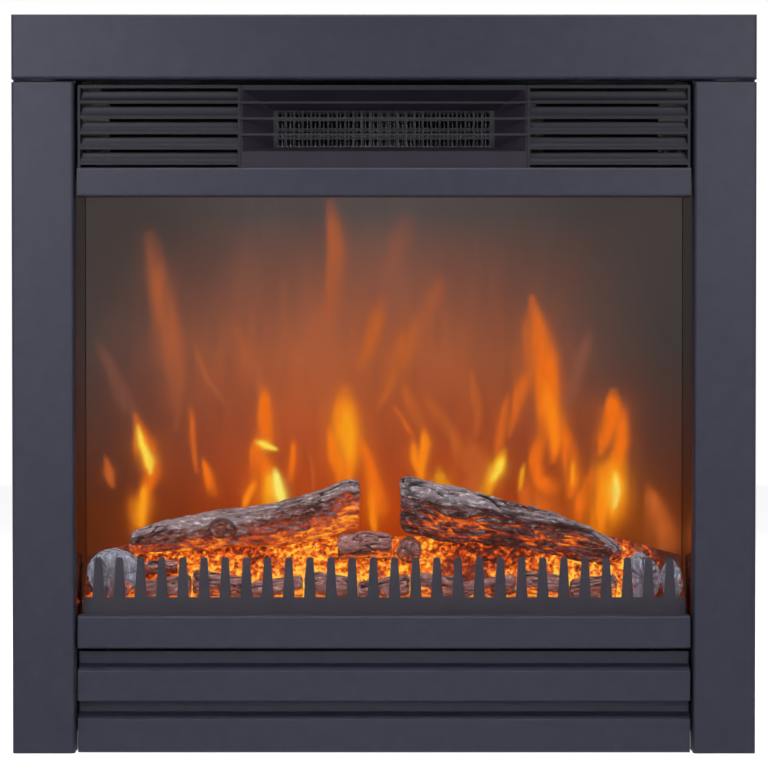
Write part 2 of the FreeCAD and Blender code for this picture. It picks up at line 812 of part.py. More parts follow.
pole_r = d.rotor_core_r + d.rotor_core_gap
pole_half = pole_r * 2.5
limb_y = wheel_y + pole_half + d.rotor_core_r
limb_back = limb_y + d.rotor_core_r
window_z = (wheel_z - pole_r * 1.8, wheel_z + pole_r * 1.8)
stack = block("stack_plate", stack_x, (wheel_y - pole_half, limb_back), (shield_high, wheel_z + pole_half))
bore = rod("stack_bore", "x", (stack_x[0] - 1, wheel_y, wheel_z), d.stack_thick + 2, pole_r)
window = block("stack_window", grown(stack_x, 1), (wheel_y + pole_half, limb_y), window_z)
keep("fan_motor_stack", cut("fan_motor_stack", stack, bore, window))

coil_build = d.rotor_core_r - d.rotor_core_gap
coil = block("coil_block", grown(stack_x, coil_build), (limb_y - coil_build, limb_back + coil_build),
             grown(window_z, -d.fit_gap))
limb_hole = block("coil_hole", grown(stack_x, d.fit_gap), (limb_y - d.fit_gap, limb_back + d.fit_gap),
                  grown(window_z, 1))
keep("fan_motor_coil", cut("fan_motor_coil", coil, limb_hole))

# fret, ember tray and log bed
body = keep("fret", new_body("fret"))
fret_back = tray_front + d.fret_sheet
fret_half = inside - d.glass_side_gap * 2
band_high = tray_high + d.fret_band
slab(body, oblong((-fret_half, fret_half), (tray_high, band_high)), tray_front, fret_back)
slab(body, oblong((-fret_half, fret_half), (tray_high, tray_high + d.fret_sheet)), tray_front,
     fret_back + d.fret_sheet * 2)
fret_span = (fret_half - d.fret_end) * 2 * (FINGERS - 1) / FINGERS
root = d.finger_root / 2
tip = d.finger_tip / 2
tip_z = tray_high + d.fret_height
finger = [(-root, band_high - 1), (root, band_high - 1), (tip, tip_z - d.fret_sheet),
          (tip - d.fret_sheet, tip_z), (d.fret_sheet - tip, tip_z), (-tip, tip_z - d.fret_sheet)]
first_finger = [(across - fret_span / 2, up) for across, up in finger]
fingers = slab(body, first_finger, tray_front, fret_back)
repeat(body, fingers, "X", FINGERS, fret_span)

tray_low = tray_high - d.casing_sheet
tray_back = tray_front + d.tray_depth
section = [(-inside, tray_high), (inside, tray_high), (inside, tray_high - d.tray_flange),
           (inside - s, tray_high - d.tray_flange), (inside - s, tray_low), (s - inside, tray_low),
           (s - inside, tray_high - d.tray_flange), (-inside, tray_high - d.tray_flange)]
body = keep("bed_tray", new_body("bed_tray"))
slab(body, section, tray_front, tray_back)
slot_x = inside / 3
slot_y = (tray_front + d.bed_shelf_depth, tray_back - d.bed_shelf_depth * 1.5)
slot = oblong((-slot_x * 2.7, -slot_x * 1.5), slot_y)
hole = extrude(body, draw(body, "XY", slot, tray_high), d.casing_sheet * 2, "Pocket")
repeat(body, hole, "X", 4, slot_x * 4.2)

bed_front = tray_front + d.bed_setback
bed_back = bed_front + d.bed_depth
shelf_z = tray_high + d.bed_shelf
ridge_z = tray_high + d.bed_ridge
bed_half = inside - d.bed_side_gap
body = keep("ember_bed", new_body("ember_bed"))
bar(body, [(bed_front, tray_high), (bed_front, shelf_z), (bed_front + d.bed_shelf_depth, shelf_z),
           (bed_back - d.bed_ridge_depth, ridge_z), (bed_back, ridge_z), (bed_back, tray_high)],
    -bed_half, bed_half)
for side in (-1, 1):
    # the heap of embers falls away towards its ends
    fall = [((bed_half + 1) * side, ridge_z - d.bed_end_drop), ((bed_half + 1) * side, ridge_z + 1),
            ((bed_half - d.bed_end_run) * side, ridge_z + 1)]
    extrude(body, draw(body, "XZ", fall, -bed_front), d.bed_depth + 1, "Pocket")

# Logs: stations along the log as x, depth behind the bed front, height over the shelf,
# half depth and half height. Logs that point at the viewer list depth and x the other way round.
# The stations are drawn for a bed of LOG_PLAN half width, depth and rise and stretch with the bed.
LOG_PLAN = (247, 61, 51)
LOGS = {
    "log_left": (3, 0.4, "x", [(-211, 40, 47, 7, 8), (-207, 40, 47.5, 10, 11), (-180, 41, 53, 13, 14),
                               (-133, 42, 57.5, 15, 17), (-91, 42, 62, 16.5, 19), (-50, 42, 71.5, 17, 21),
                               (-30, 42, 79.5, 17.5, 21.5), (-21, 42, 79.5, 17, 20.5)]),
    "log_right": (3, 1.7, "x", [(14.5, 40, 80, 17, 21), (20, 40, 79, 18, 22), (47, 41, 71, 17.5, 22),
                                (87, 42, 65, 17, 21), (134, 42, 56, 16, 18.5), (171, 42, 47, 14, 15),
                                (190, 42, 40, 10, 9), (197, 42, 38, 6, 5)]),
    "log_middle": (4, 2.3, "x", [(-38, 37, 43, 9, 9), (-34, 37, 44, 11, 11), (-14, 37, 45, 11.5, 11.5),
                                 (3, 37, 44, 10.5, 10.5), (6, 37, 44, 8.5, 8.5)]),
}
FRONT_LOGS = [
    (3, 0.2, "y", [(0.5, -222, 23, 19, 19), (4, -222, 23, 21, 21), (28, -221, 24, 20, 20)]),
    (3, 1.2, "y", [(0.5, 213, 20, 11, 18), (4, 213, 20, 13, 20), (38, 213, 20, 12, 19)]),
    (4, 0.9, "y", [(1.5, 237, 16, 7, 16), (4, 237, 16, 8.5, 18), (36, 237, 16, 8, 17)]),
    (3, 2.1, "y", [(17, 21, 41, 8, 8), (20, 21, 41, 10, 10), (52, 21, 41, 10, 10)]),
    (3, 1.5, "x", [(-198, 30, 27, 4, 4), (-195, 30, 27.5, 5.5, 5.5), (-171, 30, 27.5, 5, 5)]),
]
CHUNKS = [(-180, 42, 10.5), (-134, 46, 12), (-88, 42, 10), (-44, 42, 11.5), (0, 42, 10), (42, 40, 12),
          (86, 44, 10.5), (130, 40, 12), (172, 38, 10.5)]
for number, (middle, length, radius) in enumerate(CHUNKS):
    lean = 2.5 * (-1) ** number
    half = length / 2
    FRONT_LOGS.append((3 + number % 2, number * 0.8, "x", [
        (middle - half, 13, radius - lean, radius * 0.85, radius * 0.85),
        (middle - half * 0.9, 13, radius - lean, radius * 0.95, radius),
        (middle + half * 0.9, 14, radius + lean, radius * 0.95, radius),
        (middle + half, 14, radius + lean, radius * 0.85, radius * 0.85)]))
LOG_CORNERS = 12
LOG_SWELL = 0.06


def log_blank(name, lobes, phase, way, stations):
    # a lobed branch with split facets from station to station
    bed_now = (bed_half.value, d.bed_depth.value, d.bed_ridge.value - d.bed_shelf.value)
    wide, deep, tall = [now / plan for now, plan in zip(bed_now, LOG_PLAN)]
    rings = []
    for along, across, height, half_across, half_up in stations:
        spots = []
        for step in range(LOG_CORNERS):
            angle = 2 * math.pi * step / LOG_CORNERS
            swell = 1 + LOG_SWELL * math.sin(lobes * angle + phase + along / 40)
            across_here = across + half_across * swell * math.cos(angle)
            up_here = height + half_up * swell * math.sin(angle)
            x, depth = (along, across_here) if way == "x" else (across_here, along)
            spots.append(Vector(x * wide, depth * deep, up_here * tall))
        rings.append(spots)
    patches = [rings[0], rings[-1]]
    for here, there in zip(rings, rings[1:]):
        for step in range(LOG_CORNERS):
            after = (step + 1) % LOG_CORNERS
            patches.append([here[step], here[after], there[after]])
            patches.append([here[step], there[after], there[step]])
    faces = [Part.Face(Part.makePolygon(patch + patch[:1])) for patch in patches]
    blank = doc.addObject("Part::Feature", name)
    blank.Shape = Part.makeSolid(Part.makeShell(faces))
    place(blank, 0, bed_front, shelf_z)
    return blank


bed = nodes["ember_bed"]
for label, (lobes, phase, way, stations) in LOGS.items():
    keep(label, cut(label, log_blank(f"{label}_blank", lobes, phase, way, stations), bed))
pieces = [cut("chunk", log_blank("chunk_blank", *shape), bed) for shape in FRONT_LOGS]
keep("front_logs", group("front_logs", *pieces))

# flame effect: screen, mask, turning flags and lamps
screen_half = inside - d.screen_side_gap
keep("flame_screen", block("flame_screen", (-screen_half, screen_half), (screen_front, screen_back),
                           (tray_high, shield_low)))

body = keep("flame_mask", new_body("flame_mask"))
mask_front = screen_back + d.mask_setback
slab(body, oblong((-inside, inside), (tray_high, tray_high + d.mask_height)), mask_front,
     mask_front + d.casing_sheet)
flame = [(-0.16, 0.14), (0.12, 0.1), (0.3, 0.3), (0.26, 0.48), (0.1, 0.66), (0.06, 0.9),
         (-0.1, 0.7), (-0.3, 0.52), (-0.34, 0.3)]
flame_pitch = inside * 2 / (MASK_FLAMES + 1)
mask_span = flame_pitch * (MASK_FLAMES - 1)
shape = [(flame_pitch * across - mask_span / 2, tray_high + d.mask_height * up) for across, up in flame]
hole = extrude(body, draw(body, "XZ", shape, -mask_front), d.casing_sheet * 2, "Pocket")
repeat(body, hole, "X", MASK_FLAMES, mask_span)

rotor_y = flange_y + d.rotor_y
motor_start = inside - d.rotor_motor_long
bush_end = d.bush_long - inside
socket = d.rotor_r + d.rotor_run_gap
shaft_left = bush_end - d.socket_depth
shaft_right = motor_start + d.socket_depth
shaft_start = (shaft_left, rotor_y, d.rotor_z)
keep("rotor_shaft", rod("rotor_shaft", "x", shaft_start, shaft_right - shaft_left, d.rotor_r))

can = rod("motor_can", "x", (motor_start, rotor_y, d.rotor_z), d.rotor_motor_long, d.rotor_motor_r)
ear_half = d.rotor_motor_r * 1.4
ears = block("motor_ears", (inside - d.casing_sheet, inside), (rotor_y - ear_half, rotor_y + ear_half),
             (d.rotor_z - d.rotor_motor_r / 4, d.rotor_z + d.rotor_motor_r / 4))
bore = rod("motor_socket", "x", (motor_start - 1, rotor_y, d.rotor_z), d.socket_depth + 2, socket)
keep("rotor_motor", cut("rotor_motor", fuse("motor_case", can, ears), bore))
can = rod("bush_can", "x", (-inside, rotor_y, d.rotor_z), d.bush_long, d.rotor_r * 3.5)
bore = rod("bush_socket", "x", (shaft_left - 1, rotor_y, d.rotor_z), d.socket_depth + 2, socket)
keep("rotor_bush", cut("rotor_bush", can, bore))

flags = []
sleeve_r = d.rotor_r * 1.8
flag_pitch = (motor_start - bush_end) / (FLAGS + 1)
flag_length = flag_pitch * 0.82
flag_span = flag_pitch * (FLAGS - 1)
sleeve = [(sleeve_r * math.cos(math.radians(45 * step)), sleeve_r * math.sin(math.radians(45 * step)))
          for step in range(8)]
for number in range(FLAGS):
    start = flag_pitch * number - flag_span / 2 - flag_length / 2
    body = new_body("flag_body")
    flag = oblong((-d.flag_reach, d.flag_reach), (-d.flag_sheet / 2, d.flag_sheet / 2))
    bar(body, flag, 0, flag_length)
    bar(body, sleeve, 0, flag_length)
    bore = draw_rings(body, "YZ", (d.rotor_r + d.fit_gap / 2,), flag_length)
    extrude(body, bore, flag_length * 2, "Pocket")
    body.Placement = FreeCAD.Placement(Vector(), FreeCAD.Rotation(Vector(1, 0, 0), 67.5 * number))
    place(body, start, rotor_y, d.rotor_z)
    flags.append(body)
keep("rotor_flags", group("rotor_flags", *flags))

board_half = gland_x - d.gland_flats
led_pitch = board_half * 2 / LEDS
channels = []
boards = []
lamps = []
for middle, top in ((bed_front + d.bed_depth * 0.46, tray_low - d.bed_shelf * 1.8),
                    (rotor_y, d.rotor_z - d.flag_reach - d.casing_sheet * 12)):
    half = d.bed_shelf_depth
    low, high = middle - half, middle + half
    section = [(low, pan_floor), (low, top), (high, top), (high, pan_floor), (high - s, pan_floor),
               (high - s, top - s), (low + s, top - s), (low + s, pan_floor)]
    body = new_body("led_channel")
    bar(body, section, -board_half, board_half)
    channels.append(body)
    board_high = top + d.led_board_thick
    board_y = (low + s * 3, high - s * 3)
    boards.append(block("led_board", (-board_half, board_half), board_y, (top, board_high)))
    for number in range(LEDS):
        x = led_pitch * (number - (LEDS - 1) / 2)
        lamps.append(block("led", (x - d.led_side / 2, x + d.led_side / 2),
                           (middle - d.led_side / 2, middle + d.led_side / 2),
                           (board_high, board_high + d.led_tall)))
keep("led_channels", group("led_channels", *channels))
keep("led_boards", group("led_boards", *boards))
keep("leds", group("leds", *lamps))

# sheet casing
pan_front = flange_y + d.casing_sheet
board_x = (-inside * 0.82, d.board_length - inside * 0.82)
board_y = (rotor_y - d.bed_shelf_depth - d.board_width - d.casing_sheet * 4,
           rotor_y - d.bed_shelf_depth - d.casing_sheet * 4)
pan = block("pan_block", (-inside, inside), (pan_front, hem_y), (0, d.pan_height))
hollow = block("pan_hollow", (s - inside, inside - s), (pan_front + s, hem_y - s),
               (pan_floor, d.pan_height * 2))
posts = [rod("standoff", "z", (x, y, pan_floor), d.standoff_tall, d.standoff_r)
         for x in grown(board_x, -d.standoff_r * 1.5) for y in grown(board_y, -d.standoff_r * 1.5)]
keep("base_pan", fuse("base_pan", cut("pan_tray", pan, hollow), *posts))

for label, side in (("side_panel_left", -1), ("side_panel_right", 1)):
    def across(low, high, way=side):
        return (low, high) if way > 0 else (-high, -low)

    web = block("side_web", across(inside, outside), (flange_y, back_inner), (0, roof_low))
    lug = block("side_flange", across(outside, outside + d.casing_flange), (flange_y, flange_y + s),
                (0, roof_low))
    rear = block("side_rear_hem", across(inside - d.casing_hem, inside), (hem_y, back_inner), (0, roof_low))
    top = block("side_top_hem", across(inside - d.casing_hem, inside), (shield_front, hem_y),
                (roof_low - s, roof_low))
    panel = fuse(f"{label}_sheet", web, lug, rear, top)
    keep(label, cut(label, panel, *screw_holes(["jamb", "back"], side)))

roof = block("roof_sheet", (-outside, outside), (flange_y, back_inner), (roof_low, roof_high))
lug = block("roof_flange", (-outside, outside), (flange_y, flange_y + s),
            (roof_low, roof_high + d.roof_flange))
keep("top_panel", cut("top_panel", fuse("roof_folded", roof, lug), *screw_holes(["header"])))

body = new_body("back_sheet")
slab(body, oblong((-outside, outside), (0, roof_high)), back_inner, back_y)
vent_pitch = (gland_x - d.gland_flats * 2 + inside * 0.8) / VENT_COLUMNS
vent_span = vent_pitch * (VENT_COLUMNS - 1)
vent_x = (-inside * 0.8, vent_pitch * 0.7 - inside * 0.8)
vent_low = d.pan_height + d.vent_pitch_z
vent = draw(body, "XZ", oblong(vent_x, (vent_low, vent_low + d.vent_height)), -back_inner)
vents = extrude(body, vent, s * 2, "Pocket")
repeat(body, vents, "X", VENT_COLUMNS, vent_span, ("Z", VENT_ROWS, d.vent_pitch_z * (VENT_ROWS - 1)))
gland_hole_r = d.gland_thread_r + d.fit_gap
gland_hole = rod("gland_hole", "y", (gland_x, back_inner - 1, d.gland_z), s + 2, gland_hole_r)
keep("back_panel", cut("back_panel", body, gland_hole, *screw_holes(["back"])))

fixings = []
for side in (-1, 1):
    middle = side * (inside - d.fixing_inset)
    wide = (middle - d.fixing_width / 2, middle + d.fixing_width / 2)
    foot = block("fixing_foot", wide, (back_y - d.fixing_width, back_y),
                 (roof_high, roof_high + d.fixing_sheet))
    leg = block("fixing_leg", wide, (back_y - d.fixing_sheet, back_y),
                (roof_high, roof_high + d.fixing_tall))
    bore = rod("fixing_bore", "y", (middle, back_y - d.fixing_sheet - 1, roof_high + d.fixing_tall / 2),
               d.fixing_sheet + 2, d.fixing_hole_r)
    fixings.append(cut("fixing", fuse("fixing_angle", foot, leg), bore))
keep("fixing_brackets", group("fixing_brackets", *fixings))

# control board, cable gland and switches
board_z = pan_floor + d.standoff_tall
board_top = board_z + d.board_thick
keep("control_board", block("control_board", board_x, board_y, (board_z, board_top)))
part_specs = [(0.16, 0.5, 28, 26, 22), (0.42, 0.3, 19, 15, 15), (0.42, 0.72, 19, 15, 15),
              (0.64, 0.3, 19, 15, 15), (0.64, 0.72, 12, 12, 9), (0.88, 0.5, 10, 34, 12)]
parts_on_board = []
for share_x, share_y, wide, deep, tall in part_specs:
    x = board_x[0] + d.board_length * share_x
    y = board_y[0] + d.board_width * share_y
    parts_on_board.append(block("board_part", (x - wide / 2, x + wide / 2), (y - deep / 2, y + deep / 2),
                                (board_top, board_top + tall)))
keep("board_parts", group("board_parts", *parts_on_board))


def hexagon(flats):
    corner = flats.value / math.sqrt(3)
    return Part.Face(Part.makePolygon([Vector(corner * math.cos(math.radians(60 * step)), 0,
                                              corner * math.sin(math.radians(60 * step)))
                                       for step in range(7)]))


def hex_block(name, start, length):
    item = doc.addObject("Part::Feature", name)
    item.Shape = hexagon(d.gland_flats).extrude(Vector(0, length.value, 0))
    place(item, gland_x, start, d.gland_z)
    return item


nut_long = d.gland_reach / 3
thread_start = back_inner - nut_long * 2
collar = hex_block("gland_collar", back_y, nut_long)
thread_long = back_y - thread_start
thread = rod("gland_thread", "y", (gland_x, thread_start, d.gland_z), thread_long, d.gland_thread_r)
dome = rod("gland_dome", "y", (gland_x, back_y, d.gland_z), d.gland_reach, d.gland_flats * 0.42)
bore = rod("gland_bore", "y", (gland_x, thread_start - 1, d.gland_z), d.casing_depth, d.gland_bore_r)
keep("gland_body", cut("gland_body", fuse("gland_solid", collar, thread, dome), bore))
nut = hex_block("gland_nut_blank", back_inner - nut_long, nut_long)
bore = rod("gland_nut_bore", "y", (gland_x, thread_start, d.gland_z), d.casing_depth, gland_hole_r)
keep("gland_nut", cut("gland_nut", nut, bore))

panel_y = flange_y + d.switch_setback
panel_half = d.switch_pitch * 1.6
box_half_x = d.rocker_width / 2 + d.rocker_gap + d.trim_sheet
box_half_z = d.rocker_r + d.rocker_gap + d.trim_sheet
panel_x = (switch_x - panel_half, switch_x + panel_half)
panel_top = d.switch_z + box_half_z * 2
body = new_body("switch_sheet")
foot_back = panel_y + d.casing_hem
bar(body, [(panel_y, pan_floor), (panel_y, panel_top), (panel_y + s, panel_top),
           (panel_y + s, pan_floor + s), (foot_back, pan_floor + s), (foot_back, pan_floor)],
    panel_x[0], panel_x[1])
pivot_y = panel_y + d.trim_sheet
bezel_front = panel_y - d.trim_sheet * 1.6
openings = []
housings = []
for number, label in enumerate(("rocker_power", "rocker_flame", "rocker_heat")):
    x = switch_x + d.switch_pitch * (number - 1)
    wide = (x - box_half_x, x + box_half_x)
    tall = (d.switch_z - box_half_z, d.switch_z + box_half_z)
    openings.append(block("switch_opening", grown(wide, d.fit_gap), (panel_y - 1, panel_y + s + 1),
                          grown(tall, d.fit_gap)))
    case = block("switch_case", wide, (panel_y, pivot_y + box_half_z), tall)
    bezel = block("switch_bezel", grown(wide, d.trim_sheet), (bezel_front, panel_y),
                  grown(tall, d.trim_sheet))
    cavity_r = d.rocker_r + d.rocker_gap
    cavity_long = d.rocker_width + d.rocker_gap * 2
    cavity = rod("switch_cavity", "x", (x - cavity_long / 2, pivot_y, d.switch_z), cavity_long, cavity_r)
    mouth = block("switch_mouth", (x - cavity_long / 2, x + cavity_long / 2), (bezel_front - 1, pivot_y),
                  (d.switch_z - cavity_r, d.switch_z + cavity_r))
    housings.append(cut("switch_housing", fuse("switch_shell", case, bezel), cavity, mouth))
    rocker = keep(label, new_body(label))
    extrude(rocker, draw_rings(rocker, "YZ", (d.rocker_r,)), d.rocker_width)
    reach = d.rocker_r + 1
    apex = d.rocker_r / 3
    notch = [(-reach, reach), (-apex - reach * SLOPE_PER_SIDE, reach), (-apex, 0),
             (-apex - reach * SLOPE_PER_SIDE, -reach), (-reach, -reach)]
    extrude(rocker, draw(rocker, "YZ", notch, d.rocker_width), d.rocker_width * 2, "Pocket")
    turn = FreeCAD.Rotation(Vector(1, 0, 0), d.rocker_tilt.value)
    rocker.Placement = FreeCAD.Placement(Vector(), turn)
    place(rocker, x - d.rocker_width / 2, pivot_y, d.switch_z)
keep("switch_panel", cut("switch_panel", body, *openings))
keep("switch_housings", group("switch_housings", *housings))

# every piece is checked, then written as its own file
doc.recompute()
for item in doc.Objects:
    if any(word in state for state in item.State for word in ("Invalid", "Error")):
        raise RuntimeError(f"{item.Name} did not build: {item.State}")
os.makedirs("parts", exist_ok=True)
for label, item in nodes.items():
    if item.Shape.isNull() or not item.Shape.isValid() or not item.Shape.Solids:
        raise RuntimeError(f"{label} has no valid solid")
    item.Shape.exportStep(f"parts/{label}.step")
    print(label, len(item.Shape.Solids), round(item.Shape.Volume))
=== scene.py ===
import bpy
import math
import numpy as np
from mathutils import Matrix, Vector


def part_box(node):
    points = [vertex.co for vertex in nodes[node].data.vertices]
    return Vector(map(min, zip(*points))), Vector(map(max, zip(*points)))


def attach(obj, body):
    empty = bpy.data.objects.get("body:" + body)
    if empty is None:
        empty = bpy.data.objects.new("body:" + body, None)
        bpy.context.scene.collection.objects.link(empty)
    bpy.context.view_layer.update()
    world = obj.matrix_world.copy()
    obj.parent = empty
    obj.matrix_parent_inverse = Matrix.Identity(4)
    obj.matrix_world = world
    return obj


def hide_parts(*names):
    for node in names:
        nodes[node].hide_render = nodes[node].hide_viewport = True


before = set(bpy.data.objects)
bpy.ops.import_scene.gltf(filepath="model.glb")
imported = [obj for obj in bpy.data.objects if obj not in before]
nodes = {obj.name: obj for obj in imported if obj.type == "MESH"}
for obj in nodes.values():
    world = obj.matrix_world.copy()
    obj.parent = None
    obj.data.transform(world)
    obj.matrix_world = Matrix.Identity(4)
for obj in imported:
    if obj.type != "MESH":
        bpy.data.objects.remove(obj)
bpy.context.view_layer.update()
scene = bpy.context.scene
print("frame loaded:", len(nodes), "nodes")


# small tools used all over

def lin(code):
    # sRGB hex to linear, alpha 1
    parts = [int(code[i:i + 2], 16) / 255 for i in (0, 2, 4)]
    return tuple(c / 12.92 if c <= 0.04045 else ((c + 0.055) / 1.055) ** 2.4 for c in parts) + (1.0,)


def addNode(tree, kind, inputs=None, stops=(), **settings):
    # one node with its settings, its links and, on a colour ramp, its stops as (place, hex) pairs
    # an input is a value, the socket that feeds it, or the node whose first output feeds it
    node = tree.nodes.new(kind)
    for key, value in settings.items():
        setattr(node, key, value)
    for key, value in (inputs or {}).items():
        if isinstance(value, bpy.types.Node):
            value = value.outputs[0]
        if isinstance(value, bpy.types.NodeSocket):
            tree.links.new(value, node.inputs[key])
        else:
            node.inputs[key].default_value = value
    while stops and len(node.color_ramp.elements) < len(stops):
        node.color_ramp.elements.new(0.5)
    for number, (place, code) in enumerate(stops):
        node.color_ramp.elements[number].position = place
        node.color_ramp.elements[number].color = lin(code)
    return node


def blankMaterial(name):
    # a material with an empty tree, and the object coordinates that its pattern reads
    material = bpy.data.materials.new(name)
    material.use_nodes = True
    tree = material.node_tree
    tree.nodes.clear()
    return material, tree, addNode(tree, "ShaderNodeTexCoord").outputs["Object"]


def gridFaces(shape):
    # quads of a rectangular point grid
    index = np.arange(shape[0] * shape[1]).reshape(shape)
    quads = np.stack([index[:-1, :-1], index[:-1, 1:], index[1:, 1:], index[1:, :-1]], -1)
    return [tuple(quad) for quad in quads.reshape(-1, 4)]


def closeBehind(shape, faces):
    # joins the rim of a point grid to a second rim that follows it and caps that; returns the first rim
    index = np.arange(shape[0] * shape[1]).reshape(shape)
    rim = np.concatenate([index[0, :-1], index[:-1, -1], index[-1, :0:-1], index[:0:-1, 0]])
    start, count = index.size, len(rim)
    for i in range(count):
        j = (i + 1) % count
        faces.append((rim[j], rim[i], start + i, start + j))
    faces.append(tuple(range(start + count - 1, start - 1, -1)))
    return rim


def tubeFaces(rings, around):
    # skin over rings of equally many points; the two points that follow them cap its ends
    index = np.arange(rings * around).reshape(rings, around)
    after = np.roll(index, -1, axis=1)
    quads = np.stack([index[:-1], after[:-1], after[1:], index[1:]], -1)
    faces = [tuple(quad) for quad in quads.reshape(-1, 4)]
    faces += [(b, a, index.size) for a, b in zip(index[0], after[0])]
    faces += [(a, b, index.size + 1) for a, b in zip(index[-1], after[-1])]
    return faces


def meshObject(name, points, faces, material, smooth=True):
    mesh = bpy.data.meshes.new(name)
    mesh.from_pydata([tuple(p) for p in points], [], [tuple(int(i) for i in f) for f in faces])
    mesh.materials.append(material)
    mesh.polygons.foreach_set("use_smooth", [smooth] * len(mesh.polygons))
    mesh.update()
    thing = bpy.data.objects.new(name, mesh)
    scene.collection.objects.link(thing)
    return thing


def paint(thing, name, values):
    # one number or colour for each point; a colour gets an alpha of 1
    kind, field = ("FLOAT", "value") if values.ndim == 1 else ("FLOAT_COLOR", "color")
    if values.ndim == 2:
        values = np.insert(values, 3, 1.0, axis=1)
    layer = thing.data.attributes.new(name, kind, "POINT")
    layer.data.foreach_set(field, np.asarray(values, np.float32).ravel())


def hashed(cell, seed):
    # a steady random number from 0 to 1 for each whole-number cell
    mixed = cell[..., 0] * 374761393 + cell[..., 1] * 668265263 + cell[..., 2] * 2147483647
    mixed = mixed + seed * 1274126177
    mixed = (mixed ^ (mixed >> 13)) * 1274126177
    mixed = mixed ^ (mixed >> 16)
    return (mixed & 0xFFFFFF) / float(0xFFFFFF)


def cloud(points, seed, octaves=3):
    # smooth noise from about -1 to 1, one unit per cell
    points = np.asarray(points, float)
    total, weight, size = np.zeros(points.shape[:-1]), 0.0, 1.0
    for octave in range(octaves):
        where = points * size + 17.3 * octave
        low = np.floor(where).astype(np.int64)
        part = where - low
        part = part * part * (3 - 2 * part)
        value = 0
        for step in np.ndindex(2, 2, 2):
            x, y, z = [part[..., k] if step[k] else 1 - part[..., k] for k in range(3)]
            value = value + x * y * z * hashed(low + np.array(step), seed + octave)
        total += (value * 2 - 1) / size
        weight += 1 / size
        size *= 2
    return total / weight * 1.6


def cells(points, seed):
    # distance to the nearest and second nearest of scattered seeds, and the nearest one's own number
    points = np.asarray(points, float)
    low = np.floor(points).astype(np.int64)
    near = np.full(points.shape[:-1], 9.0)
    second = near.copy()
    own = np.zeros(points.shape[:-1])
    for step in np.ndindex(3, 3, 3):
        cell = low + np.array(step) - 1
        spot = cell + np.stack([hashed(cell, seed + k) for k in range(3)], -1)
        gap = np.linalg.norm(points - spot, axis=-1)
        closer = gap < near
        second = np.where(closer, near, np.minimum(second, gap))
        own = np.where(closer, hashed(cell, seed + 7), own)
        near = np.where(closer, gap, near)
    return near, second, own


def smoothStep(value, low, high):
    t = np.clip((value - low) / (high - low), 0, 1)
    return t * t * (3 - 2 * t)


# finishes

dullSpecular = 0.2   # satin coats and plastics reflect little of the studio


def coatedSteel(name, base, dark, mottleMm=14, roughness=0.5, bump=0.12):
    # powder coat on folded steel: satin, cloudy mottling and a fine orange peel that breaks up highlights
    # the peel is drawn at 0.9 mm, about four times too coarse, so that it shows
    material, tree, place = blankMaterial(name)
    mottle = addNode(tree, "ShaderNodeTexNoise",
                     {"Vector": place, "Scale": 1000 / mottleMm, "Detail": 4, "Roughness": 0.6})
    peel = addNode(tree, "ShaderNodeTexNoise", {"Vector": place, "Scale": 1000 / 0.9, "Detail": 2})
    colour = addNode(tree, "ShaderNodeValToRGB", {"Fac": mottle}, [(0.3, dark), (0.7, base)])
    rough = addNode(tree, "ShaderNodeMapRange",
                    {"Value": peel, "To Min": roughness - 0.07, "To Max": roughness + 0.07})
    bumped = addNode(tree, "ShaderNodeBump", {"Height": peel, "Strength": bump, "Distance": 0.0003})
    shader = addNode(tree, "ShaderNodeBsdfPrincipled",
                     {"Base Color": colour, "Roughness": rough, "Normal": bumped,
                      "Specular IOR Level": dullSpecular})
    addNode(tree, "ShaderNodeOutputMaterial", {"Surface": shader})
    return material


def mouldedPlastic(name, base, dark, grainMm=0.7, roughness=0.55, bump=0.2, paintedLightFrom=None):
    # moulded plastic: spark-eroded grain, dull, with slightly paler flow marks about 30 mm long
    # behind that depth it turns paler over 7 mm, painted light that makes the shaded blade faces read lighter
    # than their lips
    material, tree, place = blankMaterial(name)
    flow = addNode(tree, "ShaderNodeTexNoise", {"Vector": place, "Scale": 1000 / 30, "Detail": 2})
    grain = addNode(tree, "ShaderNodeTexVoronoi", {"Vector": place, "Scale": 1000 / grainMm})
    colour = addNode(tree, "ShaderNodeValToRGB", {"Fac": flow}, [(0.3, dark), (0.7, base)]).outputs["Color"]
    if paintedLightFrom is not None:
        # painted light: the colour pales towards 5a5862 on the deeper blade faces
        depth = addNode(tree, "ShaderNodeSeparateXYZ", {"Vector": place}).outputs["Y"]
        pale = addNode(tree, "ShaderNodeMapRange",
                       {"Value": depth, "From Min": paintedLightFrom + 0.0004, "From Max": paintedLightFrom + 0.007})
        colour = addNode(tree, "ShaderNodeMix", {"Factor": pale, 6: colour, 7: lin("5a5862")},
                         data_type="RGBA").outputs[2]
    rough = addNode(tree, "ShaderNodeMapRange",
                    {"Value": flow, "To Min": roughness - 0.06, "To Max": roughness + 0.06})
    bumped = addNode(tree, "ShaderNodeBump", {"Height": grain, "Strength": bump, "Distance": 0.0002})
    shader = addNode(tree, "ShaderNodeBsdfPrincipled",
                     {"Base Color": colour, "Roughness": rough, "Normal": bumped,
                      "Specular IOR Level": dullSpecular})
    addNode(tree, "ShaderNodeOutputMaterial", {"Surface": shader})
    return material


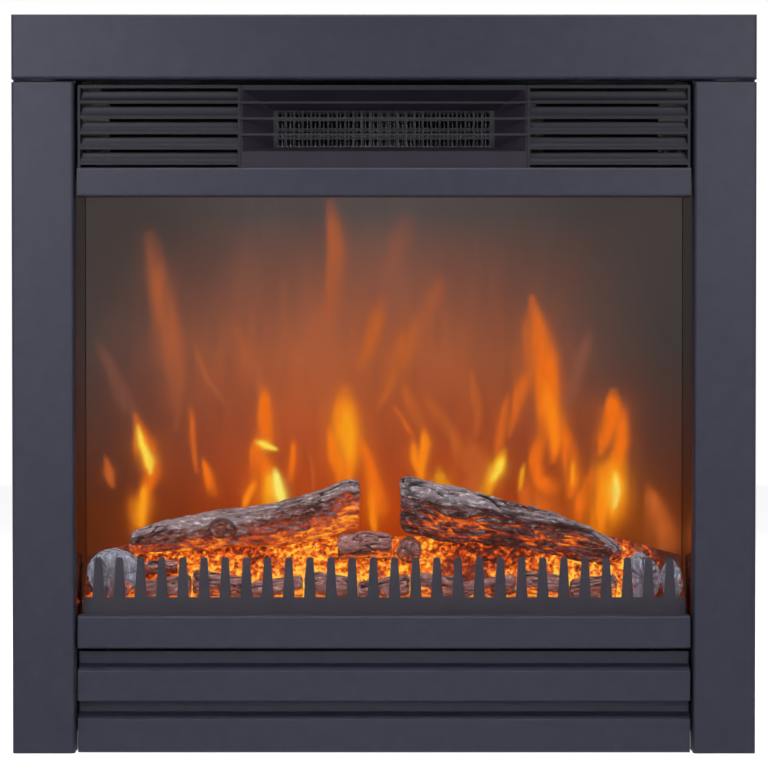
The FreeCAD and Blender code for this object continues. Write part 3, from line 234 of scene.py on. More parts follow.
def galvanisedSheet(name, paintedAxis=None, paintedTo=0, paintRough=0.08, paintIor=2.2):
    # hot dipped sheet: pale grey metal, feathered crystal patches about 9 mm across with differing gloss
    material, tree, place = blankMaterial(name)
    warp = addNode(tree, "ShaderNodeTexNoise", {"Vector": place, "Scale": 1000 / 9, "Detail": 3})
    feathered = addNode(tree, "ShaderNodeMix", {"Factor": 0.012, 6: place, 7: warp.outputs["Color"]},
                        data_type="RGBA", blend_type="ADD").outputs[2]
    patch = addNode(tree, "ShaderNodeTexVoronoi", {"Vector": feathered, "Scale": 1000 / 9})
    shade = addNode(tree, "ShaderNodeSeparateColor", {"Color": patch.outputs["Color"]})
    colour = addNode(tree, "ShaderNodeValToRGB", {"Fac": shade.outputs[0]},
                     [(0.0, "8d9194"), (0.5, "a3a7aa"), (1.0, "b9bdbf")])
    rough = addNode(tree, "ShaderNodeMapRange", {"Value": shade.outputs[1], "To Min": 0.34, "To Max": 0.56})
    shader = addNode(tree, "ShaderNodeBsdfPrincipled",
                     {"Base Color": colour, "Metallic": 0.9, "Roughness": rough})
    if paintedAxis:
        # black on the side that faces the fire, up to a plane within the sheet: paint on the side sheets,
        # painted shade on the back sheet
        across = addNode(tree, "ShaderNodeSeparateXYZ", {"Vector": place}).outputs[paintedAxis]
        reach = addNode(tree, "ShaderNodeMath", {0: across}, operation="ABSOLUTE")
        inner = addNode(tree, "ShaderNodeMath", {0: reach, 1: paintedTo}, operation="LESS_THAN")
        speck = addNode(tree, "ShaderNodeTexNoise", {"Vector": place, "Scale": 1000 / 3, "Detail": 3})
        soot = addNode(tree, "ShaderNodeValToRGB", {"Fac": speck}, [(0.3, "161313"), (0.7, "1b1817")])
        black = addNode(tree, "ShaderNodeBsdfPrincipled",
                        {"Base Color": soot, "Roughness": paintRough, "IOR": paintIor})
        shader = addNode(tree, "ShaderNodeMixShader", {0: inner, 1: shader, 2: black})
    addNode(tree, "ShaderNodeOutputMaterial", {"Surface": shader})
    return material


def brightMetal(name, base, dark, stretch, roughness):
    # drawn or cut metal: fine lines about 0.8 mm apart, drawn out along the axis with the small stretch
    material, tree, place = blankMaterial(name)
    turned = addNode(tree, "ShaderNodeMapping", {"Vector": place, "Scale": stretch})
    lines = addNode(tree, "ShaderNodeTexNoise", {"Vector": turned, "Scale": 1000 / 0.8, "Detail": 2})
    colour = addNode(tree, "ShaderNodeValToRGB", {"Fac": lines}, [(0.3, dark), (0.7, base)])
    rough = addNode(tree, "ShaderNodeMapRange",
                    {"Value": lines, "To Min": roughness - 0.08, "To Max": roughness + 0.1})
    shader = addNode(tree, "ShaderNodeBsdfPrincipled",
                     {"Base Color": colour, "Metallic": 1.0, "Roughness": rough})
    addNode(tree, "ShaderNodeOutputMaterial", {"Surface": shader})
    return material


def stripedStuff(name, one, two, axis, pitchMm, metallic, roughness):
    # laminations, windings and foil: even lines at a real pitch along one axis
    # a wave texture runs through 20 radians per unit at scale 1
    material, tree, place = blankMaterial(name)
    wave = addNode(tree, "ShaderNodeTexWave",
                   {"Vector": place, "Scale": 1000 / pitchMm / 20 * 6.2832, "Distortion": 0.4, "Detail": 1},
                   bands_direction=axis).outputs["Fac"]
    colour = addNode(tree, "ShaderNodeValToRGB", {"Fac": wave}, [(0.2, one), (0.8, two)])
    bumped = addNode(tree, "ShaderNodeBump", {"Height": wave, "Strength": 0.4, "Distance": pitchMm / 4000})
    shader = addNode(tree, "ShaderNodeBsdfPrincipled",
                     {"Base Color": colour, "Metallic": metallic, "Roughness": roughness, "Normal": bumped})
    addNode(tree, "ShaderNodeOutputMaterial", {"Surface": shader})
    return material


def lampStuff(name, body, light, strength):
    # small lamps: pale resin with a lit centre
    material, tree, place = blankMaterial(name)
    speck = addNode(tree, "ShaderNodeTexNoise", {"Vector": place, "Scale": 1000 / 2})
    colour = addNode(tree, "ShaderNodeValToRGB", {"Fac": speck}, [(0.3, body), (0.7, light)])
    shader = addNode(tree, "ShaderNodeBsdfPrincipled",
                     {"Base Color": colour, "Roughness": 0.35, "Emission Color": colour,
                      "Emission Strength": strength})
    addNode(tree, "ShaderNodeOutputMaterial", {"Surface": shader})
    return material


def windowGlass(name):
    # float glass: nearly nothing to see but a cool sheen and a little dust
    material, tree, place = blankMaterial(name)
    dust = addNode(tree, "ShaderNodeTexNoise",
                   {"Vector": place, "Scale": 1000 / 5, "Detail": 5, "Roughness": 0.7})
    veil = addNode(tree, "ShaderNodeMapRange",
                   {"Value": dust, "From Min": 0.3, "From Max": 0.8, "To Min": 0.03, "To Max": 0.06})
    shader = addNode(tree, "ShaderNodeBsdfPrincipled",
                     {"Base Color": lin("23282b"), "Roughness": 0.06, "IOR": 1.5, "Alpha": veil})
    addNode(tree, "ShaderNodeOutputMaterial", {"Surface": shader})
    return material


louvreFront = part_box("louvre_left")[0].y
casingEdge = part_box("back_panel")[1]     # outer corner of the casing, whose sheets are 1 mm thick
sideMiddle = casingEdge.x - 0.0005       # within the side sheets
backMiddle = casingEdge.y - 0.0003       # within the back sheet
platedZinc = brightMetal("zinc_plated_steel", "b4b8b8", "989c9e", (1, 1, 0.2), 0.35)
finishes = [
    (coatedSteel("powder_coated_steel", "333443", "2d2e3c"),
     "trim_header trim_jamb_left trim_jamb_right upper_rail lower_rail lower_grille"),
    # fan_scroll and heater_duct take this black as painted shade, so that the slits behind the louvres read
    # dark
    (coatedSteel("heat_proof_paint", "2a2928", "201f1e", mottleMm=20, roughness=0.75, bump=0.05),
     "rail_brackets heat_shield bed_tray flame_mask switch_panel fan_scroll heater_duct"),
    (coatedSteel("black_lacquered_steel", "443f49", "3c3842", mottleMm=10, roughness=0.6, bump=0.05), "fret"),
    # the louvre blades get painted light on their deeper faces
    (mouldedPlastic("black_abs", "1f1d26", "1b1920", paintedLightFrom=louvreFront), "louvre_left louvre_right"),
    (mouldedPlastic("black_heat_proof_nylon", "2e2936", "26222d", roughness=0.6),
     "outlet_nozzle outlet_bars"),
    (mouldedPlastic("grey_heat_proof_nylon", "28252d", "201d24", roughness=0.5), "outlet_grid"),
    (mouldedPlastic("gloss_black_abs", "1b1b1d", "161618", roughness=0.3, bump=0.05),
     "rocker_power rocker_flame rocker_heat switch_housings"),
    (mouldedPlastic("grey_nylon", "55585b", "4a4d50", roughness=0.45),
     "gland_body gland_nut rotor_bush fan_bearings"),
    (mouldedPlastic("closed_cell_foam", "1d1d1d", "131313", grainMm=1.2, roughness=0.9, bump=0.6),
     "glass_seals"),
    (mouldedPlastic("relay_and_terminal_pbt", "26323a", "1c262d", roughness=0.4), "board_parts"),
    (galvanisedSheet("galvanised_sheet"), "base_pan top_panel led_channels"),
    (galvanisedSheet("galvanised_sheet_painted_inside", "X", sideMiddle), "side_panel_left side_panel_right"),
    # the back sheet's black front is painted shade, so that what shows through the louvre slits reads dark
    (galvanisedSheet("galvanised_sheet_painted_shade_front", "Y", backMiddle, 0.7, 1.4), "back_panel"),
    (platedZinc, "magnet_catches glass_clips fixing_brackets thermal_cutout rotor_motor casing_screws"),
    (brightMetal("aluminium_strip", "b9bbbb", "9c9fa0", (0.05, 1, 1), 0.32), "fan_wheel"),
    (brightMetal("ground_steel", "a9abad", "8b8e90", (0.05, 1, 1), 0.28), "fan_shaft rotor_shaft"),
    (brightMetal("nickel_plated_magnet", "8d9093", "74777a", (1, 1, 1), 0.3), "grille_magnets"),
    (stripedStuff("anodised_heater_fins", "343638", "5a5c5e", "X", 3.4, 0.9, 0.45), "ptc_element"),
    (stripedStuff("stamped_laminations", "54585b", "7c8083", "X", 1.0, 0.9, 0.5), "fan_motor_stack"),
    (stripedStuff("taped_winding", "8a5a1e", "a87731", "Z", 1.6, 0.0, 0.45), "fan_motor_coil"),
    (stripedStuff("mirror_foil", "b9a488", "d8c9b2", "X", 2.5, 1.0, 0.2), "rotor_flags"),
    (stripedStuff("fr4_laminate", "1e4a2c", "2a5e38", "Y", 2.0, 0.0, 0.5), "control_board led_boards"),
    (lampStuff("lit_lamp_resin", "ffcf86", "fff0cf", 1.0), "leds"),
    (windowGlass("float_glass"), "front_glass"),
]
for finish, names in finishes:
    for name in names.split():
        nodes[name].data.materials.clear()
        nodes[name].data.materials.append(finish)
print("finishes:", len(finishes))


# flame screen: an opal sheet whose light is worked out point by point
screenLow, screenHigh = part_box("flame_screen")
flames = {
    "step": 0.00135,            # spacing of the painted points, fine enough for the narrow tongues
    "fine": (0.150, 0.400),     # heights between which the rows are that close
    "rowGap": 0.002, "rowsBelow": 12, "rowsAbove": 28,
    "seed": 5,
    "sway": (55, 80), "lick": (6.5, 34),   # sizes of the slow and the quick waver in x and z, mm
    # how the haze's middle wanders and leans, and how far it reaches, mm
    "wander": 14, "lean": 16, "leanFrom": (220, 330), "glowReach": (20, 250),
    # haze behind the tongues: a plain run of colours up the middle and one up the sides, heights in mm
    "middle": [(190, "ember"), (320, "rust"), (440, "ash")],
    "side": [(190, "dusk"), (330, "soot")],
    "colours": {"smoke": "8e5440", "rust": "ac5a34", "copper": "c46024", "orange": "dc661a",
                "flame": "f27008", "amber": "fe8808", "gold": "ffa810", "yellow": "ffdc46", "pale": "ffee6c",
                "ember": "b84000", "ash": "544a48", "dusk": "602808", "soot": "443c3a"},
    # tongues: colour, strength, and the run from tip to foot, read off the photograph in its pixels
    # as column, row and width
    "tongues": [
        ("rust", 0.75, [(148, 232, 10), (158, 290, 20), (172, 345, 22), (178, 380, 16), (176, 430, 6)]),
        ("smoke", 0.5, [(100, 345, 8), (120, 390, 14), (135, 425, 14)]),
        ("rust", 0.75, [(330, 205, 12), (336, 250, 18), (326, 330, 18), (322, 365, 10)]),
        ("smoke", 0.65, [(408, 225, 16), (392, 280, 22), (380, 330, 14)]),
        ("flame", 0.92, [(136, 418, 5), (145, 450, 20), (152, 475, 16), (146, 490, 12), (141, 505, 18),
                         (142, 528, 12)]),
        ("yellow", 1, [(138, 428, 2), (142, 447, 7), (149, 464, 9), (150, 474, 4)]),
        ("gold", 0.95, [(145, 488, 4), (142, 505, 11), (142, 522, 9)]),
        ("copper", 0.85, [(105, 459, 3), (109, 475, 9), (112, 488, 4)]),
        ("orange", 0.85, [(192, 413, 6), (194, 440, 5), (197, 472, 3)]),
        ("rust", 0.8, [(196, 348, 3), (210, 380, 5), (225, 404, 3)]),
        ("flame", 0.9, [(205, 460, 4), (209, 475, 8), (214, 494, 8)]),
        ("rust", 0.8, [(236, 325, 8), (255, 370, 14), (266, 395, 12), (268, 410, 10)]),
        ("flame", 0.92, [(267, 388, 7), (268, 415, 13), (269, 440, 13)]),
        ("flame", 0.9, [(262, 438, 8), (260, 455, 14), (266, 475, 20), (270, 499, 24)]),
        ("yellow", 1, [(260, 444, 4), (267, 447, 7), (277, 451, 3)]),
        ("gold", 0.95, [(270, 476, 6), (272, 498, 14)]),
        ("pale", 1, [(276, 472, 4), (280, 486, 8), (283, 501, 8)]),
        ("flame", 0.9, [(296, 442, 5), (294, 460, 7), (291, 481, 6)]),
        ("amber", 0.9, [(257, 484, 5), (250, 497, 6), (246, 506, 5)]),
        ("copper", 0.7, [(309, 450, 2), (313, 470, 3), (314, 491, 2)]),
        ("rust", 0.6, [(322, 335, 8), (326, 365, 9), (330, 400, 6)]),
        ("flame", 0.9, [(330, 425, 4), (335, 455, 10), (342, 478, 12)]),
        ("amber", 0.95, [(345, 390, 12), (346, 420, 22), (347, 450, 22), (345, 478, 12)]),
        ("gold", 0.95, [(347, 404, 6), (347, 430, 12), (348, 456, 8)]),
        ("flame", 0.95, [(358, 436, 5), (366, 460, 11), (372, 485, 15), (378, 505, 16)]),
        ("amber", 0.9, [(368, 488, 5), (370, 515, 9), (372, 530, 6)]),
        ("copper", 0.75, [(382, 300, 12), (370, 335, 15), (360, 365, 6)]),
        ("copper", 0.7, [(391, 374, 3), (382, 395, 5), (375, 409, 3)]),
        ("rust", 0.6, [(440, 280, 10), (422, 320, 16), (405, 350, 16)]),
        ("copper", 0.8, [(412, 318, 12), (402, 345, 18), (392, 370, 12), (382, 398, 6)]),
        ("copper", 0.7, [(398, 380, 8), (412, 410, 10), (421, 433, 7)]),
        ("orange", 0.85, [(392, 405, 2), (400, 420, 4), (410, 435, 3)]),
        ("amber", 0.95, [(422, 431, 5), (423, 445, 9), (420, 465, 8), (419, 482, 7)]),
        ("amber", 0.95, [(410, 440, 5), (412, 455, 9), (416, 468, 5)]),
        ("copper", 0.7, [(426, 398, 7), (440, 420, 10), (452, 440, 10), (464, 466, 12)]),
        ("gold", 0.95, [(436, 470, 7), (438, 485, 16), (446, 494, 12)]),
        ("copper", 0.8, [(469, 365, 3), (474, 400, 8), (472, 432, 5)]),
        ("orange", 0.8, [(506, 392, 3), (500, 420, 7), (495, 447, 8)]),
        ("gold", 0.95, [(501, 446, 5), (495, 462, 12), (488, 478, 12), (480, 500, 8)]),
        ("yellow", 1, [(500, 454, 4), (495, 466, 7), (490, 477, 4)]),
        ("flame", 0.97, [(532, 298, 7), (537, 330, 22), (543, 360, 28), (547, 385, 28), (550, 410, 22),
                         (553, 435, 14), (552, 455, 5)]),
        ("amber", 0.9, [(546, 385, 10), (551, 420, 14), (553, 447, 6)]),
        ("orange", 0.85, [(530, 372, 12), (518, 395, 12), (510, 415, 10), (505, 430, 4)]),
        ("smoke", 0.7, [(592, 335, 7), (582, 360, 12), (573, 385, 12), (565, 404, 7)]),
        ("flame", 0.9, [(540, 428, 8), (534, 455, 12), (537, 475, 14), (549, 484, 18)]),
        ("flame", 0.9, [(561, 418, 8), (568, 450, 14), (572, 475, 14), (570, 492, 8)]),
        ("gold", 0.9, [(571, 458, 3), (571, 480, 4)]),
        ("gold", 1, [(521, 458, 3), (519, 473, 5), (517, 484, 4)]),
        ("flame", 0.95, [(614, 392, 7), (612, 415, 22), (605, 435, 16), (600, 449, 7)]),
        ("flame", 0.9, [(623, 415, 8), (622, 445, 14), (616, 470, 18)]),
        ("amber", 0.95, [(613, 455, 8), (610, 475, 30), (606, 500, 40), (598, 525, 30)]),
        ("gold", 1, [(616, 466, 7), (614, 485, 18), (613, 508, 12)]),
        ("pale", 1, [(615, 474, 4), (615, 490, 8), (614, 506, 4)]),
        ("flame", 0.85, [(590, 465, 5), (584, 490, 10), (578, 515, 12)]),
        ("copper", 0.8, [(650, 490, 8), (656, 512, 20), (662, 540, 30)]),
        ("copper", 0.7, [(470, 440, 10), (478, 470, 16), (470, 500, 18)]),
        ("orange", 0.75, [(520, 478, 14), (530, 500, 24), (545, 515, 30)]),
    ],
    # how those pixels lie on the screen: column of the middle, row of the foot, mm per pixel at the trim,
    # how much further off the screen is, height of the eye, mm per pixel of width and the least width, mm
    "middleColumn": 383.8, "footRow": 754.8, "trimMm": 600 / 745, "further": 1.04, "eyeHeight": 344,
    "widthMm": 0.84, "leastWidth": 2,
}


def onScreen(column, row, wide):
    # a spot of a tongue from pixels to x, z and width on the screen, to the millimetre
    scale = flames["trimMm"] * flames["further"]
    x = (column - flames["middleColumn"]) * scale
    z = (flames["footRow"] - row) * scale - flames["eyeHeight"] * (flames["further"] - 1)
    return round(x), round(z), round(max(wide * flames["widthMm"], flames["leastWidth"]), 1)


def hazeRun(run, z):
    # a smooth run of palette colours up the screen
    heights = [height for height, shade in flames[run]]
    shades = np.array([lin(flames["colours"][shade])[:3] for height, shade in flames[run]])
    return np.stack([np.interp(z, heights, shades[:, k]) for k in range(3)], -1)


def waver(x, z, size, layer, seed, octaves):
    # noise over the screen, stretched to a size in mm
    spots = np.stack([x / size[0], z / size[1], np.full_like(x, layer)], -1)
    return cloud(spots, flames["seed"] + seed, octaves)


def flameLight(x, z):
    # colour of the screen at a point, in linear light; x and z in mm
    sway = waver(x, z, flames["sway"], 0, 0, 3)
    lick = waver(x, z, flames["lick"], 3, 9, 3)
    drift = waver(x, z, flames["sway"], 5.5, 3, 2)
    middle, side = hazeRun("middle", z), hazeRun("side", z)
    away = np.abs(x + flames["lean"] * smoothStep(z, *flames["leanFrom"]) + flames["wander"] * sway)
    share = (1 - smoothStep(away, *flames["glowReach"])) ** 0.85 * (1 + 0.14 * lick)
    colour = (side + (middle - side) * np.clip(share, 0, 1)[:, None]) * (0.96 + 0.1 * sway)[:, None]
    bentX = x + 3 * sway + 1.2 * lick
    bentZ = z + 5 * drift
    for shade, strength, spots in flames["tongues"]:
        line = [onScreen(*spot) for spot in spots]
        best = np.full_like(x, 99.0)   # distance from the tongue's spine, in half widths
        along = np.zeros_like(x)       # place on the spine, 0 at the tip
        for number, ((x0, z0, w0), (x1, z1, w1)) in enumerate(zip(line, line[1:])):
            runX, runZ = x1 - x0, z1 - z0
            t = np.clip(((bentX - x0) * runX + (bentZ - z0) * runZ) / (runX ** 2 + runZ ** 2), 0, 1)
            gap = np.hypot(bentX - x0 - t * runX, bentZ - z0 - t * runZ) / ((w0 + (w1 - w0) * t) / 2)
            along = np.where(gap < best, (number + t) / (len(line) - 1), along)
            best = np.minimum(best, gap)
        # a firm core with a soft skirt, faint at the tip and towards the foot
        soft = 0.74 * np.exp(-0.8 * best ** 3) + 0.26 * np.exp(-(best / 1.9) ** 2)
        body = smoothStep(along, -0.05, 0.2) * (1 - 0.4 * smoothStep(along, 0.8, 1))
        share = np.clip(strength * soft * (0.3 + 0.7 * body) * (1 + 0.4 * lick), 0, 1)
        colour = colour + (np.array(lin(flames["colours"][shade])[:3]) - colour) * share[:, None]
    return np.clip(colour, 0, 1.2)


def litScreen():
    # opal acrylic seen by the light behind it: what shows is the glow, with the faint grain of the sheet
    material, tree, place = blankMaterial("opal_acrylic_lit_from_behind")
    light = addNode(tree, "ShaderNodeAttribute", attribute_name="flameLight").outputs["Color"]
    grain = addNode(tree, "ShaderNodeTexNoise", {"Vector": place, "Scale": 1000 / 2.5, "Detail": 3})
    veil = addNode(tree, "ShaderNodeMapRange", {"Value": grain, "To Min": 0.93, "To Max": 1.07})
    tone = addNode(tree, "ShaderNodeMix", {"Factor": 1.0, 6: light, 7: veil},
                   data_type="RGBA", blend_type="MULTIPLY").outputs[2]
    shader = addNode(tree, "ShaderNodeBsdfPrincipled",
                     {"Base Color": lin("0a0908"), "Roughness": 0.7, "Specular IOR Level": 0.0,
                      "Emission Color": tone, "Emission Strength": 1.0})
    addNode(tree, "ShaderNodeOutputMaterial", {"Surface": shader})
    return material


def makeScreen():
    # the front is a fine grid, the back and edges close it
    step = flames["step"]
    low, high = flames["fine"]
    xSteps = np.linspace(screenLow.x, screenHigh.x, int((screenHigh.x - screenLow.x) / step) + 1)
    zSteps = np.concatenate([np.linspace(screenLow.z, low - flames["rowGap"], flames["rowsBelow"]),
                             np.arange(low, high, step),
                             np.linspace(high + flames["rowGap"], screenHigh.z, flames["rowsAbove"])])
    gridX, gridZ = np.meshgrid(xSteps, zSteps)
    front = np.stack([gridX.ravel(), np.full(gridX.size, screenLow.y), gridZ.ravel()], -1)
    faces = gridFaces(gridX.shape)
    rim = closeBehind(gridX.shape, faces)
    points = np.concatenate([front, front[rim] + np.array([0, screenHigh.y - screenLow.y, 0])])
    sheet = meshObject("flame_sheet", points, faces, litScreen(), False)
    paint(sheet, "flameLight", flameLight(points[:, 0] * 1000, points[:, 2] * 1000))
    return sheet


flameSheet = makeScreen()
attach(flameSheet, "firebox")
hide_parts("flame_screen")
print("flame screen:", len(flameSheet.data.polygons), "faces")


# logs and embers, in mm until they become meshes

bedLow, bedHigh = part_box("ember_bed")
bed = {
    "front": bedLow.y * 1000, "back": bedHigh.y * 1000, "low": bedLow.z * 1000, "ridge": bedHigh.z * 1000,
    "half": bedHigh.x * 1000, "shelf": bedLow.z * 1000 + 20, "shelfDepth": 14, "ridgeDepth": 6,
    "endRun": 56, "endDrop": 15,
    "columns": 330, "shelfRows": 12, "slopeRows": 74, "ridgeRows": 6,
    "emberMm": 6.5, "emberTall": 9, "heapMm": 14, "heapFrom": (30, 50), "crumbBand": (17, 52),
}


def bedHeight(depth):
    # height of the bed at a depth behind its front
    whole = bed["back"] - bed["front"]
    rise = (depth - bed["shelfDepth"]) / (whole - bed["ridgeDepth"] - bed["shelfDepth"])
    return bed["shelf"] + (bed["ridge"] - bed["shelf"]) * np.clip(rise, 0, 1)


def emberCast(name, ash, pale, bark, char, glowFrom, glowTo, peak, paintedLampTone, speckMm=3.0, stretch=(0.45, 1, 1)):
    # painted resin casting: dry ash on the crowns, rough bark below it, red to yellow light in its hollows
    material, tree, place = blankMaterial(name)
    grain = addNode(tree, "ShaderNodeMapping", {"Vector": place, "Scale": stretch})
    up, hot, deep = [addNode(tree, "ShaderNodeAttribute", attribute_name=layer).outputs["Fac"]
                     for layer in ("ash", "emberHeat", "crack")]
    fleck = addNode(tree, "ShaderNodeTexNoise",
                    {"Vector": grain, "Scale": 1000 / (speckMm * 2.4), "Detail": 6, "Roughness": 0.7})
    grit = addNode(tree, "ShaderNodeTexNoise",
                   {"Vector": grain, "Scale": 1000 / speckMm, "Detail": 4, "Roughness": 0.65})
    crumb = addNode(tree, "ShaderNodeTexVoronoi", {"Vector": place, "Scale": 1000 / (speckMm * 1.2)})
    ashTone = addNode(tree, "ShaderNodeValToRGB", {"Fac": grit},
                      [(0.28, char), (0.42, ash), (0.54, ash), (0.68, pale)])
    barkTone = addNode(tree, "ShaderNodeValToRGB", {"Fac": grit}, [(0.36, char), (0.52, bark), (0.7, ash)])
    ragged = addNode(tree, "ShaderNodeMath", {0: fleck, 1: 0.5}, operation="SUBTRACT")
    edge = addNode(tree, "ShaderNodeMath", {0: ragged, 1: 1.6, 2: up},
                   operation="MULTIPLY_ADD", use_clamp=True)
    dry = addNode(tree, "ShaderNodeMix", {"Factor": edge, 6: barkTone, 7: ashTone},
                  data_type="RGBA").outputs[2]
    dark = addNode(tree, "ShaderNodeMix", {"Factor": deep, 6: dry, 7: lin(char)}, data_type="RGBA").outputs[2]
    # the glow breaks into crumbs, dark where a flake stands proud
    flake = addNode(tree, "ShaderNodeMath", {0: crumb, 1: -0.3, 2: 0.12}, operation="MULTIPLY_ADD")
    spot = addNode(tree, "ShaderNodeMath", {0: grit, 1: -1.8, 2: 0.9}, operation="MULTIPLY_ADD")
    broken = addNode(tree, "ShaderNodeMath", {0: flake, 1: spot}, operation="ADD")
    patch = addNode(tree, "ShaderNodeMath", {0: ragged, 1: 1.9, 2: broken}, operation="MULTIPLY_ADD")
    held = addNode(tree, "ShaderNodeMath", {0: hot, 1: 2.2}, operation="MULTIPLY", use_clamp=True)
    ember = addNode(tree, "ShaderNodeMath", {0: patch, 1: held, 2: hot},
                    operation="MULTIPLY_ADD", use_clamp=True)
    glow = addNode(tree, "ShaderNodeValToRGB", {"Fac": ember},
                   [(0.1, "000000"), (0.3, "3a0a02"), (0.48, glowFrom), (0.72, glowTo), (1.0, peak)])
    # painted light: the lamps' light on the paint, added as glow and lost where it glows
    warm = addNode(tree, "ShaderNodeMix", {"Factor": 1.0, 6: dark, 7: lin(paintedLampTone)},
                   data_type="RGBA", blend_type="MULTIPLY").outputs[2]
    faint = addNode(tree, "ShaderNodeMix", {"Factor": hot, 6: warm, 7: lin("100804")},
                    data_type="RGBA").outputs[2]
    shown = addNode(tree, "ShaderNodeMix", {"Factor": 1.0, 6: glow, 7: faint},
                    data_type="RGBA", blend_type="ADD").outputs[2]
    bumped = addNode(tree, "ShaderNodeBump", {"Height": grit, "Strength": 0.8, "Distance": 0.0012})
    shader = addNode(tree, "ShaderNodeBsdfPrincipled",
                     {"Base Color": dark, "Roughness": 0.85, "Specular IOR Level": 0.25, "Normal": bumped,
                      "Emission Color": shown, "Emission Strength": 1.0})
    addNode(tree, "ShaderNodeOutputMaterial", {"Surface": shader})
    return material


# colours: ash, pale ash, bark, char, then the glow from red to its peak, and the painted lamp light on the
# paint
ashLog = emberCast("ash_grey_log_casting", "8c7a7c", "d8cfd2", "6c3626", "1c0f0c",
                   "8e2604", "d05208", "ffa01e", "847a7c")
charLog = emberCast("charred_log_casting", "84787c", "d4ced2", "4a261c", "140a08",
                    "7c1e04", "c44808", "ff8a12", "9a9298")
branchCast = emberCast("painted_branch_casting", "8c6866", "ccaea8", "6e3e32", "1e100c",
                       "b03e08", "ee7014", "ffac2c", "8a6056", 2.4)
coolLog = emberCast("pale_ash_log_casting", "82828e", "c6cad6", "6c5e62", "2a282e",
                    "a83a08", "e86a12", "ffa428", "a6a6ac", 2.4, (1, 1, 0.4))
emberSlope = emberCast("painted_ember_casting", "7a4a36", "a8745c", "6a2c14", "2a0c06",
                       "bc3604", "f0700a", "ffcc40", "2a1208", 3.4, (1, 1, 1))


def through(stations, t):
    # smooth values between the stations, t from 0 to 1 along the whole
    stations = np.array(stations, float)
    place = (stations[:, 0] - stations[0, 0]) / (stations[-1, 0] - stations[0, 0])
    values = np.stack([np.interp(t, place, column) for column in stations.T], -1)
    soft = values.copy()
    reach = max(1, len(t) // 40)
    last = len(t) - reach
    for shift in range(1, reach + 1):
        soft[reach:-reach] += values[reach - shift:last - shift] + values[reach + shift:last + shift]
    soft[reach:-reach] /= 2 * reach + 1
    return soft


# what all bark shares: swing and twist of the outline, width of the cracks, sizes of the noise along and
# across, reach of the calm and of the ragged part of the ends, height of a knot, softness of ash and heat
barkLook = {"lobe": 0.06, "twist": 40, "crack": (0.02, 0.22), "rough": (9, 3.2), "swell": (45, 20),
            "endFade": 4, "endRough": 3, "knotRim": 3.2, "knotFace": 1.2, "ashEdge": 0.4, "heatEdge": 0.7}


